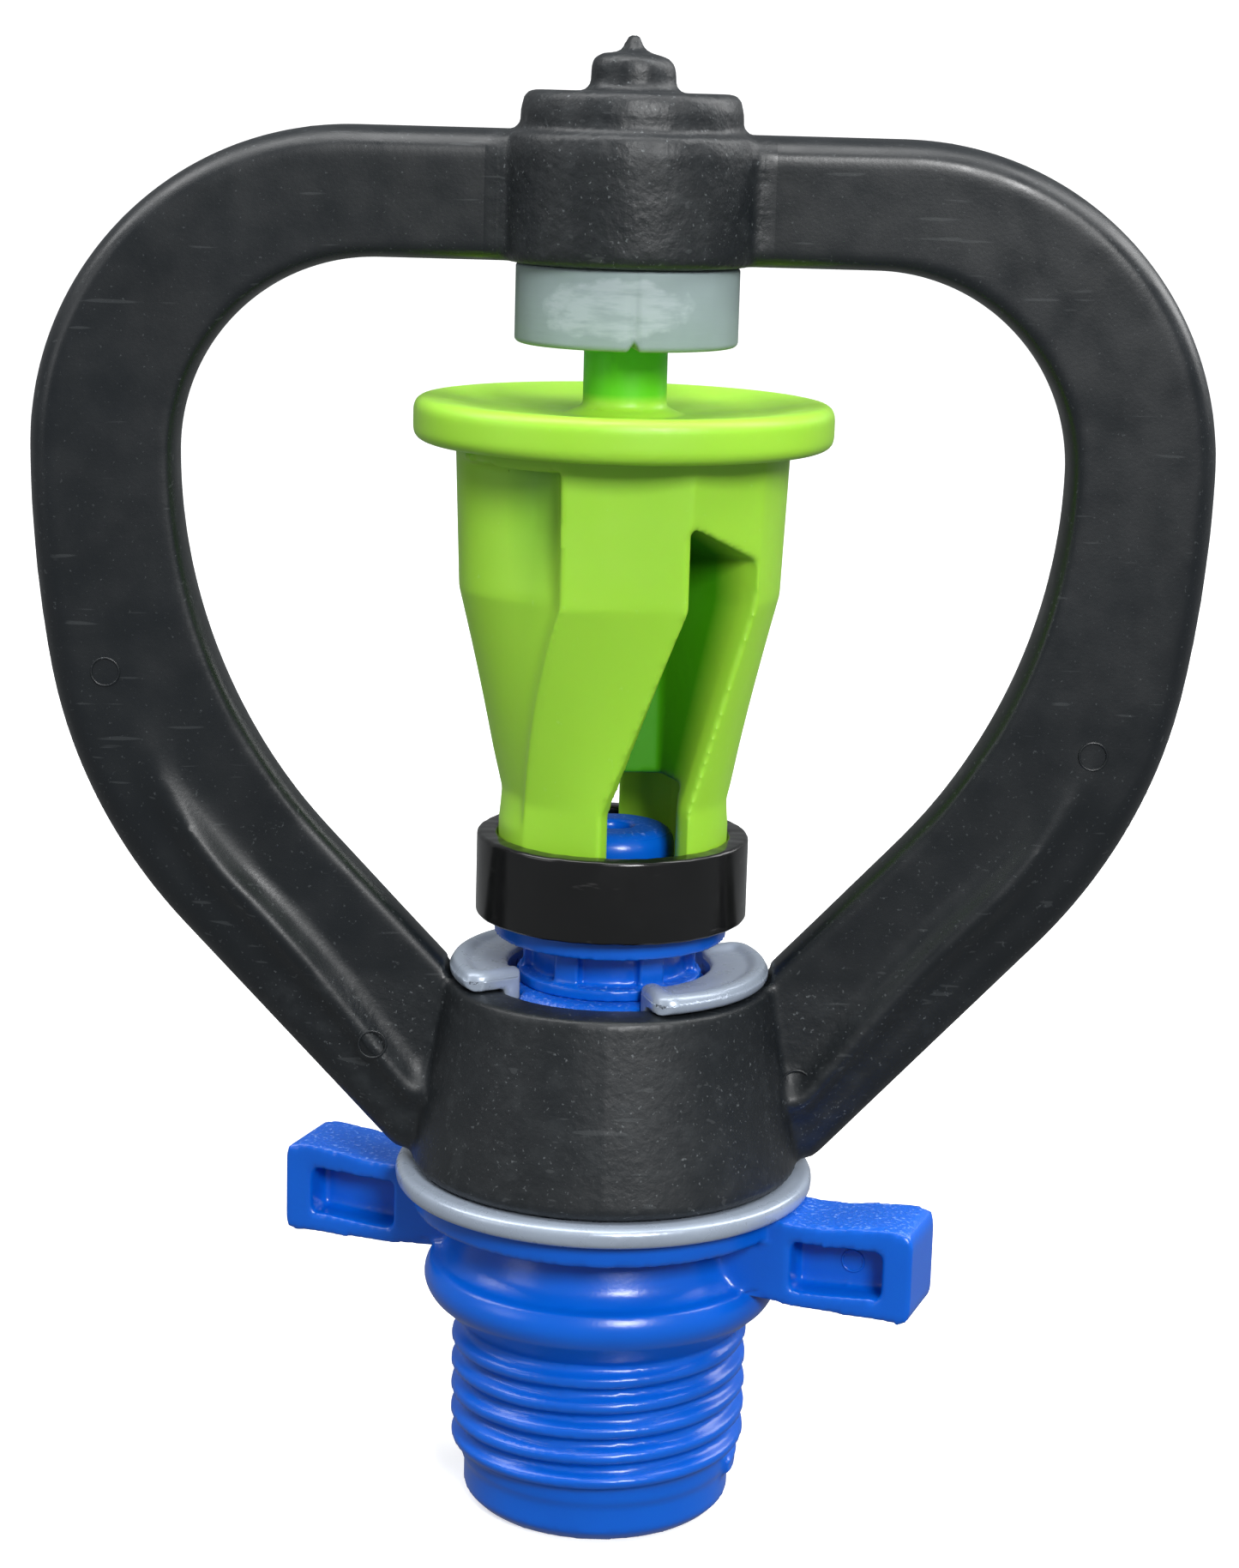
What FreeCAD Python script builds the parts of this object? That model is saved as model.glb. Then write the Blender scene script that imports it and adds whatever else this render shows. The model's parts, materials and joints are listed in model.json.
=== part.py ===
import FreeCAD, Part
import Sketcher
import math
import os
import re

# A micro-sprinkler: a blue threaded base, a grey swivel bush clipped over it, a black heart-shaped
# bridge that swivels on the bush, and a green spinner that turns between the nozzle and the bridge.
# Millimetres and degrees. Z runs up the water axis from the inlet end of the thread.

SIZES = {
    # threaded base: male inlet thread, collar, neck, flange, wings and spindle
    "pilot_radius": 9.3,
    "pilot_length": 2.6,
    "pilot_chamfer": 0.8,
    "thread_radius": 10.4775,
    "thread_depth": 1.162,
    "thread_pitch": 1.8143,
    "thread_crest_width": 0.55,
    "thread_root_width": 1.45,
    "thread_turns": 5.1,
    "thread_length": 10.2,
    "collar_radius": 12.3,
    "collar_flare": 2.7,
    "collar_height": 2.1,
    "collar_round": 0.9,
    "neck_radius": 9.8,
    "neck_height": 3.7,
    "base_flange_radius": 13.2,
    "base_flange_thickness": 1.7,
    "spindle_length": 14.5,
    "key_length": 7.0,
    "key_inset": 0.25,
    "key_gap": 4.0,
    "inlet_radius": 6.8,
    "inlet_length": 14.0,
    "inlet_cone": 3.5,
    "passage_radius": 3.4,
    "socket_depth": 7.6,
    "wing_turn": -20.0,
    "wing_reach": 24.0,
    "wing_thickness": 6.0,
    "wing_height": 5.6,
    "wing_drop": 0.9,
    "wing_round": 0.9,
    "wing_web": 1.6,
    "wing_wall": 1.4,
    # nozzle pressed into the spindle, with an O-ring on its spigot
    "spigot_inset": 1.9,
    "spigot_length": 7.4,
    "nozzle_foot_inset": 0.6,
    "nozzle_foot_height": 0.8,
    "nozzle_neck_inset": 1.7,
    "nozzle_neck_height": 2.5,
    "nozzle_disc_radius": 7.9,
    "nozzle_disc_height": 1.2,
    "nozzle_dome_radius": 4.2,
    "nozzle_dome_height": 6.3,
    "nozzle_dome_round": 1.2,
    "spigot_wall": 2.0,
    "orifice_radius": 1.2,
    "orifice_mouth_radius": 1.5,
    "orifice_land": 1.8,
    "rib_inset": 1.0,
    "rib_span": 18.5,
    "rib_count": 6,
    "seal_thickness": 1.2,
    "seal_height": 2.4,
    # swivel bush: flange, sleeve and two snap tabs
    "bush_flange_radius": 14.4,
    "bush_flange_thickness": 1.4,
    "sleeve_radius": 8.2,
    "sleeve_wall": 1.26,
    "tab_radius": 10.9,
    "tab_thickness": 1.3,
    "tab_round": 0.5,
    "tab_span": 105.0,
    # bridge: hub, two arms with a thicker rail along the outer edge, boss, cap and button
    "hub_bottom_radius": 13.45,
    "hub_top_radius": 11.1,
    "hub_height": 13.1,
    "arm_top": 69.8,
    "arm_half_width": 39.2,
    "arm_width": 9.9,
    "arm_height": 8.5,
    "web_thickness": 4.2,
    "rail_thickness": 6.0,
    "rail_width": 4.4,
    "rail_round": 2.2,
    "rail_step_round": 0.6,
    "window_round": 0.8,
    "shoulder_radius": 21.4,
    "flank_radius": 85.0,
    "flank_turn": 9.6,
    "knee_radius": 35.0,
    "foot_reach": 14.32,
    "foot_radius": 1.8,
    "foot_lift": 0.4,
    "window_shoulder_radius": 13.0,
    "crotch_height": 14.24,
    "boss_radius": 8.26,
    "boss_height": 8.3,
    "cap_radius": 7.24,
    "cap_height": 2.7,
    "cap_round": 0.8,
    "button_radius": 2.75,
    "button_height": 2.5,
    "button_round": 0.9,
    "gate_radius": 0.5,
    "gate_height": 1.2,
    # bearing bush under the boss
    "bearing_radius": 7.35,
    "bearing_height": 5.2,
    "bearing_round": 0.4,
    "bearing_spigot_radius": 4.6,
    "bearing_spigot_length": 4.2,
    "bearing_floor": 1.4,
    # spinner: legs, twisted body, disc and pin
    "leg_radius": 7.75,
    "leg_bottom": 0.9,
    "leg_top": 8.4,
    "leg_wall": 1.75,
    "body_shoulder": 22.3,
    "body_shoulder_radius": 10.7,
    "body_top": 32.0,
    "body_top_radius": 11.1,
    "channel_floor": 9.9,
    "window_low_top": 25.2,
    "window_high_top": 27.7,
    "upper_crease": -20.7,
    "upper_left_edge": 24.6,
    "upper_right_edge": 56.5,
    "lower_crease": -50.0,
    "lower_left_edge": -6.5,
    "lower_right_edge": 40.0,
    "panel_wall": 1.3,
    "channel_lip": 1.0,
    "channel_reach": 2.0,
    "channel_tip": 0.13,
    "web_half_thickness": 0.9,
    "web_crease": 3.0,
    "web_heel": 4.2,
    "web_heel_half_thickness": 1.17,
    "scoop_depth": 1.9,
    "scoop_height": 9.0,
    "scoop_lead": 2.0,
    "scoop_span": 32.0,
    "scoop_tip_lead": 8.0,
    "scoop_tip_span": 8.0,
    "scoop_tip_lift": 0.25,
    "disc_radius": 13.9,
    "disc_thickness": 2.9,
    "disc_round": 0.8,
    "dish_radius": 11.6,
    "dish_depth": 0.6,
    "pin_radius": 2.77,
    "pin_length": 11.0,
    "pin_chamfer": 0.6,
    # skirt ring round the spinner's legs
    "ring_radius": 9.2,
    "ring_height": 5.7,
    "ring_lip_height": 0.8,
    "ring_lip_width": 1.25,
    "ring_round": 0.35,
    # clearances
    "running_clearance": 0.07,
    "fixed_clearance": 0.04,
    "axial_play": 0.1,
    "tab_clearance": 0.3,
    "ring_gap": 0.1,
    "cut_margin": 1.0,
    "join_overlap": 0.6,
}

SIDES = (1, -1)
UPRIGHT = FreeCAD.Vector(0, 0, 1)
SAME_PLACE = 1e-4
SAME_WALL = 1e-3

doc = FreeCAD.newDocument("sprinkler")
derived = doc.addObject("App::VarSet", "Derived")
sheet = doc.addObject("Spreadsheet::Sheet", "Sizes")
for row, (alias, number) in enumerate(SIZES.items(), start=1):
    sheet.set(f"A{row}", alias)
    sheet.set(f"B{row}", str(number))
    sheet.setAlias(f"B{row}", alias)
doc.recompute()


# ---- expressions of the sizes ----

def bind(expression):
    """The expression with every size name pointed at the spreadsheet or at the derived sizes."""
    def owner(match):
        name = match.group(0)
        if name in SIZES:
            return f"Sizes.{name}"
        return f"Derived.{name}" if name in derived.PropertiesList else name
    return re.sub(r"\b[a-z][a-z_]*\b(?!\()", owner, expression)


def value(expression):
    """The number that an expression of the sizes comes to."""
    return float(sheet.evalExpression(bind(expression)))


def derive(name, expression):
    """A size worked out from the others, kept in the document."""
    derived.addProperty("App::PropertyFloat", name, "Derived")
    derived.setExpression(name, bind(expression))
    doc.recompute()


# The arm leaves its knee at the slope that lands its outer edge on foot_reach, and the window's
# edge has the radius that lands it on crotch_height with the same slope.
KNEE_ACROSS = "(arm_half_width - flank_radius + (flank_radius - knee_radius) * cos(flank_turn))"
KNEE_UP = "(arm_top - shoulder_radius - (flank_radius - knee_radius) * sin(flank_turn))"
TO_FOOT = f"foot_reach - {KNEE_ACROSS}; {KNEE_UP} - foot_lift"
derive("arm_slope", f"(asin(knee_radius / hypot({TO_FOOT})) - atan2({TO_FOOT})) / 1 deg")
WINDOW_DROP = "(arm_top - arm_height - window_shoulder_radius - crotch_height)"
WINDOW_INWARD = "(arm_half_width - arm_width - hub_top_radius)"
derive("window_flank_radius", f"({WINDOW_DROP} * sin(arm_slope) - {WINDOW_INWARD} * cos(arm_slope))"
                              " / (1 - cos(arm_slope))")

# Levels of the stack, from the inlet end up
THREAD_END = "(pilot_length + thread_length)"
COLLAR_LOW = f"({THREAD_END} + collar_flare)"
COLLAR_TOP = f"({COLLAR_LOW} + collar_height)"
FLANGE_LOW = f"({COLLAR_TOP} + neck_height)"
BUSH_SEAT = f"({FLANGE_LOW} + base_flange_thickness)"
SPINDLE_TOP = f"({BUSH_SEAT} + spindle_length)"
HUB_SEAT = f"({BUSH_SEAT} + bush_flange_thickness + axial_play)"
ARM_TOP = f"({HUB_SEAT} + arm_top)"
BOSS_LOW = f"({ARM_TOP} - arm_height)"
DISC_SEAT = f"({SPINDLE_TOP} + nozzle_foot_height + nozzle_neck_height)"
RING_SEAT = f"({DISC_SEAT} + nozzle_disc_height + ring_gap)"
BEARING_SEAT = f"({BOSS_LOW} - bearing_height)"

# Fits between the pieces
SLEEVE_BORE = "(sleeve_radius - sleeve_wall)"
SPINDLE_RADIUS = f"({SLEEVE_BORE} - fixed_clearance)"
HUB_BORE = "(sleeve_radius + running_clearance)"
SPIGOT_RADIUS = f"({SPINDLE_RADIUS} - spigot_inset)"
SOCKET_RADIUS = f"({SPIGOT_RADIUS} + fixed_clearance)"
BEARING_BORE = "(pin_radius + running_clearance)"
BEARING_SOCKET = "(bearing_spigot_radius + fixed_clearance)"
RING_BORE = "(leg_radius + fixed_clearance)"
RING_LIP = "(leg_radius - ring_lip_width)"


# ---- bodies, sketches and features ----

def new_body(name, seat="0", turn="0"):
    """An empty body, lifted to its seat and turned about the water axis."""
    body = doc.addObject("PartDesign::Body", name)
    body.Label = name
    body.Placement = FreeCAD.Placement(FreeCAD.Vector(0, 0, 0), FreeCAD.Rotation(UPRIGHT, value(turn)))
    body.setExpression("Placement.Base.z", bind(seat))
    body.setExpression("Placement.Rotation.Angle", bind(turn))
    return body


def origin_item(body, role):
    """One of the body's own origin planes or axes."""
    return next(item for item in body.Origin.OriginFeatures if item.Role == role)


def new_sketch(body, name, role, height="0"):
    """An empty sketch on an origin plane, or that far along the plane's normal."""
    sketch = body.newObject("Sketcher::SketchObject", name)
    sketch.AttachmentSupport = [(origin_item(body, role), "")]
    sketch.MapMode = "FlatFace"
    sketch.setExpression("AttachmentOffset.Base.z", bind(height))
    return sketch


def pin_point(sketch, item, end, point):
    """Fix one point of a sketch by its distances from the two axes."""
    for kind, axis, expression in zip(("DistanceX", "DistanceY"), (-2, -1), point):
        if expression == "0":
            sketch.addConstraint(Sketcher.Constraint("PointOnObject", item, end, axis))
            continue
        rule = Sketcher.Constraint(kind, -1, 1, item, end, value(expression))
        index = sketch.addConstraint(rule)
        sketch.setExpression(f"Constraints[{index}]", bind(expression))


def arc_between(start, end, radius, left):
    """The shorter arc from start to end that bends left or right, always counterclockwise."""
    chord = end - start
    half = chord.Length / 2
    rise = math.sqrt(max(radius**2 - half**2, 0))
    normal = FreeCAD.Vector(-chord.y, chord.x, 0).normalize()
    centre = (start + end) / 2 + normal * (rise if left else -rise)
    first, last = (start, end) if left else (end, start)
    angles = [math.atan2(point.y - centre.y, point.x - centre.x) for point in (first, last)]
    circle = Part.Circle(centre, UPRIGHT, radius)
    return Part.ArcOfCircle(circle, *angles)


def outline(sketch, points, arcs=None):
    """A closed outline. arcs gives, by the index of its first point, a side's radius and bend."""
    arcs = arcs or {}
    spots = [FreeCAD.Vector(value(across), value(up), 0) for across, up in points]
    ends = []
    for index, start in enumerate(spots):
        end = spots[(index + 1) % len(spots)]
        if index not in arcs:
            item = sketch.addGeometry(Part.LineSegment(start, end), False)
            ends.append((item, 1, 2))
            continue
        radius, left = arcs[index]
        item = sketch.addGeometry(arc_between(start, end, value(radius), left), False)
        ends.append((item, 1, 2) if left else (item, 2, 1))
        rule = sketch.addConstraint(Sketcher.Constraint("Radius", item, value(radius)))
        sketch.setExpression(f"Constraints[{rule}]", bind(radius))
    for index, (item, first, last) in enumerate(ends):
        after, after_first, _ = ends[(index + 1) % len(ends)]
        sketch.addConstraint(Sketcher.Constraint("Coincident", item, last, after, after_first))
        pin_point(sketch, item, first, points[index])


def box_outline(sketch, low, high):
    """A rectangle from its low corner to its high corner."""
    outline(sketch, [low, (high[0], low[1]), high, (low[0], high[1])])


def revolve(body, sketch, kind="Revolution", span="360", about="V_Axis"):
    """A turned feature, halved either side of its sketch where it isn't a full turn."""
    feature = body.newObject(f"PartDesign::{kind}", f"{sketch.Name}_{kind}")
    feature.Profile = sketch
    feature.ReferenceAxis = (sketch, [about])
    feature.Angle = value(span)
    feature.Midplane = span != "360"
    if span != "360":
        feature.setExpression("Angle", bind(span))
    return feature


def extrude(body, sketch, length, kind="Pad", symmetric=False, reverse=False):
    """A Pad or Pocket of the sketch."""
    feature = body.newObject(f"PartDesign::{kind}", f"{sketch.Name}_{kind}")
    feature.Profile = sketch
    feature.SideType = "Symmetric" if symmetric else "One side"
    feature.Reversed = reverse
    feature.setExpression("Length", bind(length))
    return feature


def loft(body, sketches, kind):
    """A ruled loft through closed sketches with matching corners."""
    feature = body.newObject(f"PartDesign::{kind}", f"{sketches[0].Name}_{kind}")
    feature.Profile = sketches[0]
    feature.Sections = sketches[1:]
    feature.Ruled = True
    return feature


def pattern(body, originals, count, name):
    """Copies of features, evenly spaced round the body's upright axis."""
    feature = body.newObject("PartDesign::PolarPattern", name)
    feature.Originals = originals
    feature.Axis = (origin_item(body, "Z_Axis"), [""])
    feature.Angle = 360
    feature.Occurrences = count
    body.Tip = feature
    return feature


def round_edges(body, name, radius, wanted):
    """A fillet along the edges of the body's tip that wanted accepts."""
    doc.recompute()
    base = body.Tip
    edges = [f"Edge{number}" for number, edge in enumerate(base.Shape.Edges, start=1)
             if wanted(base.Shape, edge)]
    feature = body.newObject("PartDesign::Fillet", name)
    feature.Base = (base, edges)
    feature.setExpression("Radius", bind(radius))
    return feature


# ---- threaded base ----

def base_outside(body):
    """Pilot, thread core, collar, neck, flange and spindle, turned as one solid."""
    sketch = new_sketch(body, "base_profile", "XZ_Plane")
    core = "(thread_radius - thread_depth)"
    points = [
        ("0", "0"),
        ("pilot_radius - pilot_chamfer", "0"),
        ("pilot_radius", "pilot_chamfer"),
        ("pilot_radius", "pilot_length"),
        (core, "pilot_length"),
        (core, THREAD_END),
        ("collar_radius", COLLAR_LOW),
        ("collar_radius", f"{COLLAR_TOP} - collar_round"),
        ("collar_radius - collar_round", COLLAR_TOP),
        ("neck_radius", COLLAR_TOP),
        ("neck_radius", FLANGE_LOW),
        ("base_flange_radius", FLANGE_LOW),
        ("base_flange_radius", BUSH_SEAT),
        (SPINDLE_RADIUS, BUSH_SEAT),
        (SPINDLE_RADIUS, SPINDLE_TOP),
        ("0", SPINDLE_TOP),
    ]
    arcs = {7: ("collar_round", True)}
    outline(sketch, points, arcs)
    return revolve(body, sketch)


def base_thread(body):
    """The helical ridge of the inlet thread, with a flat crest."""
    sketch = new_sketch(body, "thread_ridge", "XZ_Plane")
    middle = "(pilot_length + thread_root_width / 2)"
    root = "(thread_radius - thread_depth - join_overlap)"
    points = [
        (root, f"{middle} - thread_root_width / 2"),
        ("thread_radius - thread_depth", f"{middle} - thread_root_width / 2"),
        ("thread_radius", f"{middle} - thread_crest_width / 2"),
        ("thread_radius", f"{middle} + thread_crest_width / 2"),
        ("thread_radius - thread_depth", f"{middle} + thread_root_width / 2"),
        (root, f"{middle} + thread_root_width / 2"),
    ]
    outline(sketch, points)
    helix = body.newObject("PartDesign::AdditiveHelix", "thread")
    helix.Profile = sketch
    helix.ReferenceAxis = (sketch, ["V_Axis"])
    helix.Mode = "pitch-turns-angle"
    helix.setExpression("Pitch", bind("thread_pitch"))
    helix.setExpression("Turns", bind("thread_turns"))
    return helix


def base_wings(body):
    """Two hand wings under the flange, each cored from both sides down to a middle web."""
    low = f"({BUSH_SEAT} - wing_height)"
    sketch = new_sketch(body, "wing_plan", "XZ_Plane")
    for side in SIDES:
        points = [
            (f"{side} * (neck_radius - join_overlap)", BUSH_SEAT),
            (f"{side} * (neck_radius - join_overlap)", low),
            (f"{side} * (wing_reach - wing_round)", f"{low} - wing_drop"),
            (f"{side} * wing_reach", f"{low} - wing_drop + wing_round"),
            (f"{side} * wing_reach", f"{BUSH_SEAT} - wing_drop - wing_round"),
            (f"{side} * (wing_reach - wing_round)", f"{BUSH_SEAT} - wing_drop"),
            (f"{side} * base_flange_radius", BUSH_SEAT),
        ]
        outline(sketch, points, {2: ("wing_round", side > 0), 4: ("wing_round", side > 0)})
    extrude(body, sketch, "wing_thickness", symmetric=True)
    for face in SIDES:
        pocket_plan = new_sketch(body, f"wing_pocket_{'front' if face < 0 else 'back'}", "XZ_Plane",
                                 f"{-face} * wing_thickness / 2")
        for side in SIDES:
            inner = f"{side} * (base_flange_radius + wing_wall)"
            outer = f"{side} * (wing_reach - wing_wall - wing_round)"
            points = [
                (inner, f"{low} + wing_wall / 2"),
                (outer, f"{low} + wing_wall - wing_drop"),
                (outer, f"{BUSH_SEAT} - wing_wall - wing_drop"),
                (inner, f"{BUSH_SEAT} - wing_wall"),
            ]
            outline(pocket_plan, points)
        extrude(body, pocket_plan, "(wing_thickness - wing_web) / 2", kind="Pocket",
                reverse=face > 0)


def base_keys(body):
    """Two raised sectors on the spindle that fill the slots between the bush's snap fingers."""
    sketch = new_sketch(body, "key_profile", "YZ_Plane")
    low = (f"{SPINDLE_RADIUS} - join_overlap", f"{SPINDLE_TOP} - key_length")
    high = ("sleeve_radius - key_inset", f"{SPINDLE_TOP} - axial_play")
    box_outline(sketch, low, high)
    key = revolve(body, sketch, span="180 - tab_span - key_gap")
    pattern(body, [key], 2, "keys")


def base_bore(body):
    """The water passage: a wide inlet, a cone, the passage and the nozzle's socket."""
    sketch = new_sketch(body, "base_bore", "XZ_Plane")
    points = [
        ("0", "-cut_margin"),
        ("inlet_radius", "-cut_margin"),
        ("inlet_radius", "inlet_length"),
        ("passage_radius", "inlet_length + inlet_cone"),
        ("passage_radius", f"{SPINDLE_TOP} - socket_depth"),
        (SOCKET_RADIUS, f"{SPINDLE_TOP} - socket_depth"),
        (SOCKET_RADIUS, f"{SPINDLE_TOP} + cut_margin"),
        ("0", f"{SPINDLE_TOP} + cut_margin"),
    ]
    outline(sketch, points)
    return revolve(body, sketch, kind="Groove")


def make_threaded_base():
    body = new_body("threaded_base", turn="wing_turn")
    base_outside(body)
    base_thread(body)
    base_wings(body)
    base_keys(body)
    base_bore(body)
    return body


# ---- nozzle and its seal ----

def make_nozzle():
    """Spigot with an O-ring groove, foot, ribbed neck, disc and domed top with the orifice."""
    body = new_body("nozzle", SPINDLE_TOP)
    sketch = new_sketch(body, "nozzle_profile", "XZ_Plane")
    groove_floor = f"({SPIGOT_RADIUS} - seal_thickness)"
    foot_radius = f"({SPINDLE_RADIUS} - nozzle_foot_inset)"
    neck_radius = f"({SPINDLE_RADIUS} - nozzle_neck_inset)"
    neck_low = "nozzle_foot_height"
    disc_low = "(nozzle_foot_height + nozzle_neck_height)"
    disc_top = f"({disc_low} + nozzle_disc_height)"
    dome_top = f"({disc_top} + nozzle_dome_height)"
    seal_half = "(seal_thickness / 2 + fixed_clearance)"
    seal_level = "(seal_height - spigot_length)"
    points = [
        ("0", "-spigot_length"),
        (SPIGOT_RADIUS, "-spigot_length"),
        (SPIGOT_RADIUS, f"{seal_level} - {seal_half}"),
        (groove_floor, f"{seal_level} - {seal_half}"),
        (groove_floor, f"{seal_level} + {seal_half}"),
        (SPIGOT_RADIUS, f"{seal_level} + {seal_half}"),
        (SPIGOT_RADIUS, "0"),
        (foot_radius, "0"),
        (foot_radius, neck_low),
        (neck_radius, neck_low),
        (neck_radius, disc_low),
        ("nozzle_disc_radius", disc_low),
        ("nozzle_disc_radius", disc_top),
        ("nozzle_dome_radius", disc_top),
        ("nozzle_dome_radius", f"{dome_top} - nozzle_dome_round"),
        ("nozzle_dome_radius - nozzle_dome_round", dome_top),
        ("0", dome_top),
    ]
    outline(sketch, points, {14: ("nozzle_dome_round", True)})
    revolve(body, sketch)

    rib_plan = new_sketch(body, "rib_profile", "XZ_Plane")
    box_outline(rib_plan, (f"{neck_radius} - join_overlap", neck_low),
                (f"{SPINDLE_RADIUS} - rib_inset", disc_low))
    rib = revolve(body, rib_plan, span="rib_span")
    pattern(body, [rib], int(value("rib_count")), "ribs")

    bore = new_sketch(body, "nozzle_bore", "XZ_Plane")
    mouth = "(orifice_mouth_radius - orifice_radius)"
    inlet_radius = f"({SPIGOT_RADIUS} - spigot_wall)"
    bore_points = [
        ("0", "-spigot_length - cut_margin"),
        (inlet_radius, "-spigot_length - cut_margin"),
        (inlet_radius, disc_low),
        ("orifice_radius", f"{dome_top} - orifice_land"),
        ("orifice_radius", f"{dome_top} - {mouth}"),
        ("orifice_mouth_radius", dome_top),
        ("orifice_mouth_radius", f"{dome_top} + cut_margin"),
        ("0", f"{dome_top} + cut_margin"),
    ]
    outline(bore, bore_points)
    revolve(body, bore, kind="Groove")
    return body


def make_nozzle_seal():
    """The O-ring in the spigot's groove."""
    seal = doc.addObject("Part::Torus", "nozzle_seal")
    seal.Label = "nozzle_seal"
    seal.setExpression("Radius2", bind("seal_thickness / 2 - fixed_clearance"))
    seal.setExpression("Radius1", bind(f"{SPIGOT_RADIUS} - seal_thickness / 2"))
    seal.setExpression("Placement.Base.z", bind(f"{SPINDLE_TOP} - spigot_length + seal_height"))
    return seal


# ---- swivel bush ----

def make_swivel_bush():
    """Flange and sleeve with two snap tabs over the bridge's hub, and a slot between them."""
    body = new_body("swivel_bush", BUSH_SEAT, "wing_turn")
    tab_low = "(bush_flange_thickness + hub_height + 2 * axial_play)"
    tab_top = f"({tab_low} + tab_thickness)"
    sleeve = new_sketch(body, "sleeve_profile", "XZ_Plane")
    points = [
        (SLEEVE_BORE, "0"),
        ("bush_flange_radius - tab_round", "0"),
        ("bush_flange_radius", "tab_round"),
        ("bush_flange_radius", "bush_flange_thickness - tab_round"),
        ("bush_flange_radius - tab_round", "bush_flange_thickness"),
        ("sleeve_radius", "bush_flange_thickness"),
        ("sleeve_radius", tab_top),
        (SLEEVE_BORE, tab_top),
    ]
    outline(sleeve, points, {1: ("tab_round", True), 3: ("tab_round", True)})
    revolve(body, sleeve)

    slot = new_sketch(body, "slot_profile", "YZ_Plane")
    box_outline(slot, (f"{SLEEVE_BORE} - cut_margin", "spindle_length - key_length - axial_play"),
                ("sleeve_radius + cut_margin", f"{tab_top} + cut_margin"))
    cut = revolve(body, slot, kind="Groove", span="180 - tab_span")
    pattern(body, [cut], 2, "slots")

    tab = new_sketch(body, "tab_profile", "XZ_Plane")
    tab_points = [
        ("sleeve_radius - join_overlap", tab_low),
        ("tab_radius - tab_round", tab_low),
        ("tab_radius", f"{tab_low} + tab_round"),
        ("tab_radius", f"{tab_top} - tab_round"),
        ("tab_radius - tab_round", tab_top),
        ("sleeve_radius - join_overlap", tab_top),
    ]
    outline(tab, tab_points, {1: ("tab_round", True), 3: ("tab_round", True)})
    hook = revolve(body, tab, span="tab_span")
    pattern(body, [hook], 2, "tabs")
    return body


# ---- bridge ----

class Walk:
    """An outline walked with a heading, kept as expressions of the sizes."""

    def __init__(self, across, up, heading):
        self.points = [(across, up)]
        self.arcs = {}
        self.heading = heading

    def step(self, along, sideways):
        across, up = self.points[-1]
        self.points.append((f"{across} + {along}", f"{up} + {sideways}"))

    def run(self, length):
        """Go straight ahead."""
        self.step(f"({length}) * cos({self.heading})", f"({length}) * sin({self.heading})")

    def turn_right(self, radius, angle):
        """Follow a tangent arc to the right."""
        after = f"({self.heading} - ({angle}))"
        self.arcs[len(self.points) - 1] = (radius, False)
        self.step(f"({radius}) * (sin({after}) - sin({self.heading})) * -1",
                  f"({radius}) * (cos({after}) - cos({self.heading}))")
        self.heading = after

    def run_to_height(self, height):
        """Go straight ahead as far as a given height."""
        self.run(f"(({height}) - ({self.points[-1][1]})) / sin({self.heading})")

    def run_to_width(self, width):
        """Go straight ahead as far as a given distance from the upright axis."""
        self.run(f"(({width}) - ({self.points[-1][0]})) / cos({self.heading})")

    def mirrored(self, side):
        """The points and arcs, or those of the opposite arm."""
        points = [(f"{side} * ({across})", up) for across, up in self.points]
        arcs = {index: (radius, left == (side > 0)) for index, (radius, left) in self.arcs.items()}
        return points, arcs


BOSS_INSIDE = "(boss_radius - 2 * join_overlap)"
HUB_INSIDE = "(hub_top_radius - 2 * join_overlap)"


def outer_edge(inset):
    """The arm's outer edge from the boss down to the hub, moved inwards by the inset."""
    walk = Walk(BOSS_INSIDE, f"(arm_top - {inset})", "0")
    walk.run(f"arm_half_width - shoulder_radius - {BOSS_INSIDE}")
    walk.turn_right(f"(shoulder_radius - {inset})", "90")
    walk.turn_right(f"(flank_radius - {inset})", "flank_turn")
    walk.turn_right(f"(knee_radius - {inset})", "arm_slope - flank_turn")
    return walk


def close_on_foot(walk):
    """Round the arm's heel and run level into the hub."""
    heel = "(90 - arm_slope)"
    walk.run_to_height(f"foot_lift + foot_radius * (1 - cos({heel}))")
    walk.turn_right("foot_radius", heel)
    walk.run_to_width(HUB_INSIDE)


def inner_edge():
    """The window's edge from the boss down to the hub."""
    walk = Walk(BOSS_INSIDE, "arm_top - arm_height", "0")
    walk.run(f"arm_half_width - arm_width - window_shoulder_radius - {BOSS_INSIDE}")
    walk.turn_right("window_shoulder_radius", "90")
    walk.turn_right("window_flank_radius", "arm_slope")
    walk.run_to_width(HUB_INSIDE)
    return walk


def join_edges(outside, inside):
    """One closed outline that goes out along one edge and back along the other."""
    points = outside.points + inside.points[::-1]
    count = len(points)
    arcs = dict(outside.arcs)
    for index, (radius, left) in inside.arcs.items():
        arcs[count - 2 - index] = (radius, not left)
    joined = Walk(*points[0], "0")
    joined.points = points
    joined.arcs = arcs
    return joined


def arm_outlines():
    """The whole arm, and the rail along its outer edge."""
    outside = outer_edge("0")
    close_on_foot(outside)
    rail_inside = outer_edge("rail_width")
    rail_inside.run_to_width(HUB_INSIDE)
    return join_edges(outside, inner_edge()), join_edges(outside, rail_inside)


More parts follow.
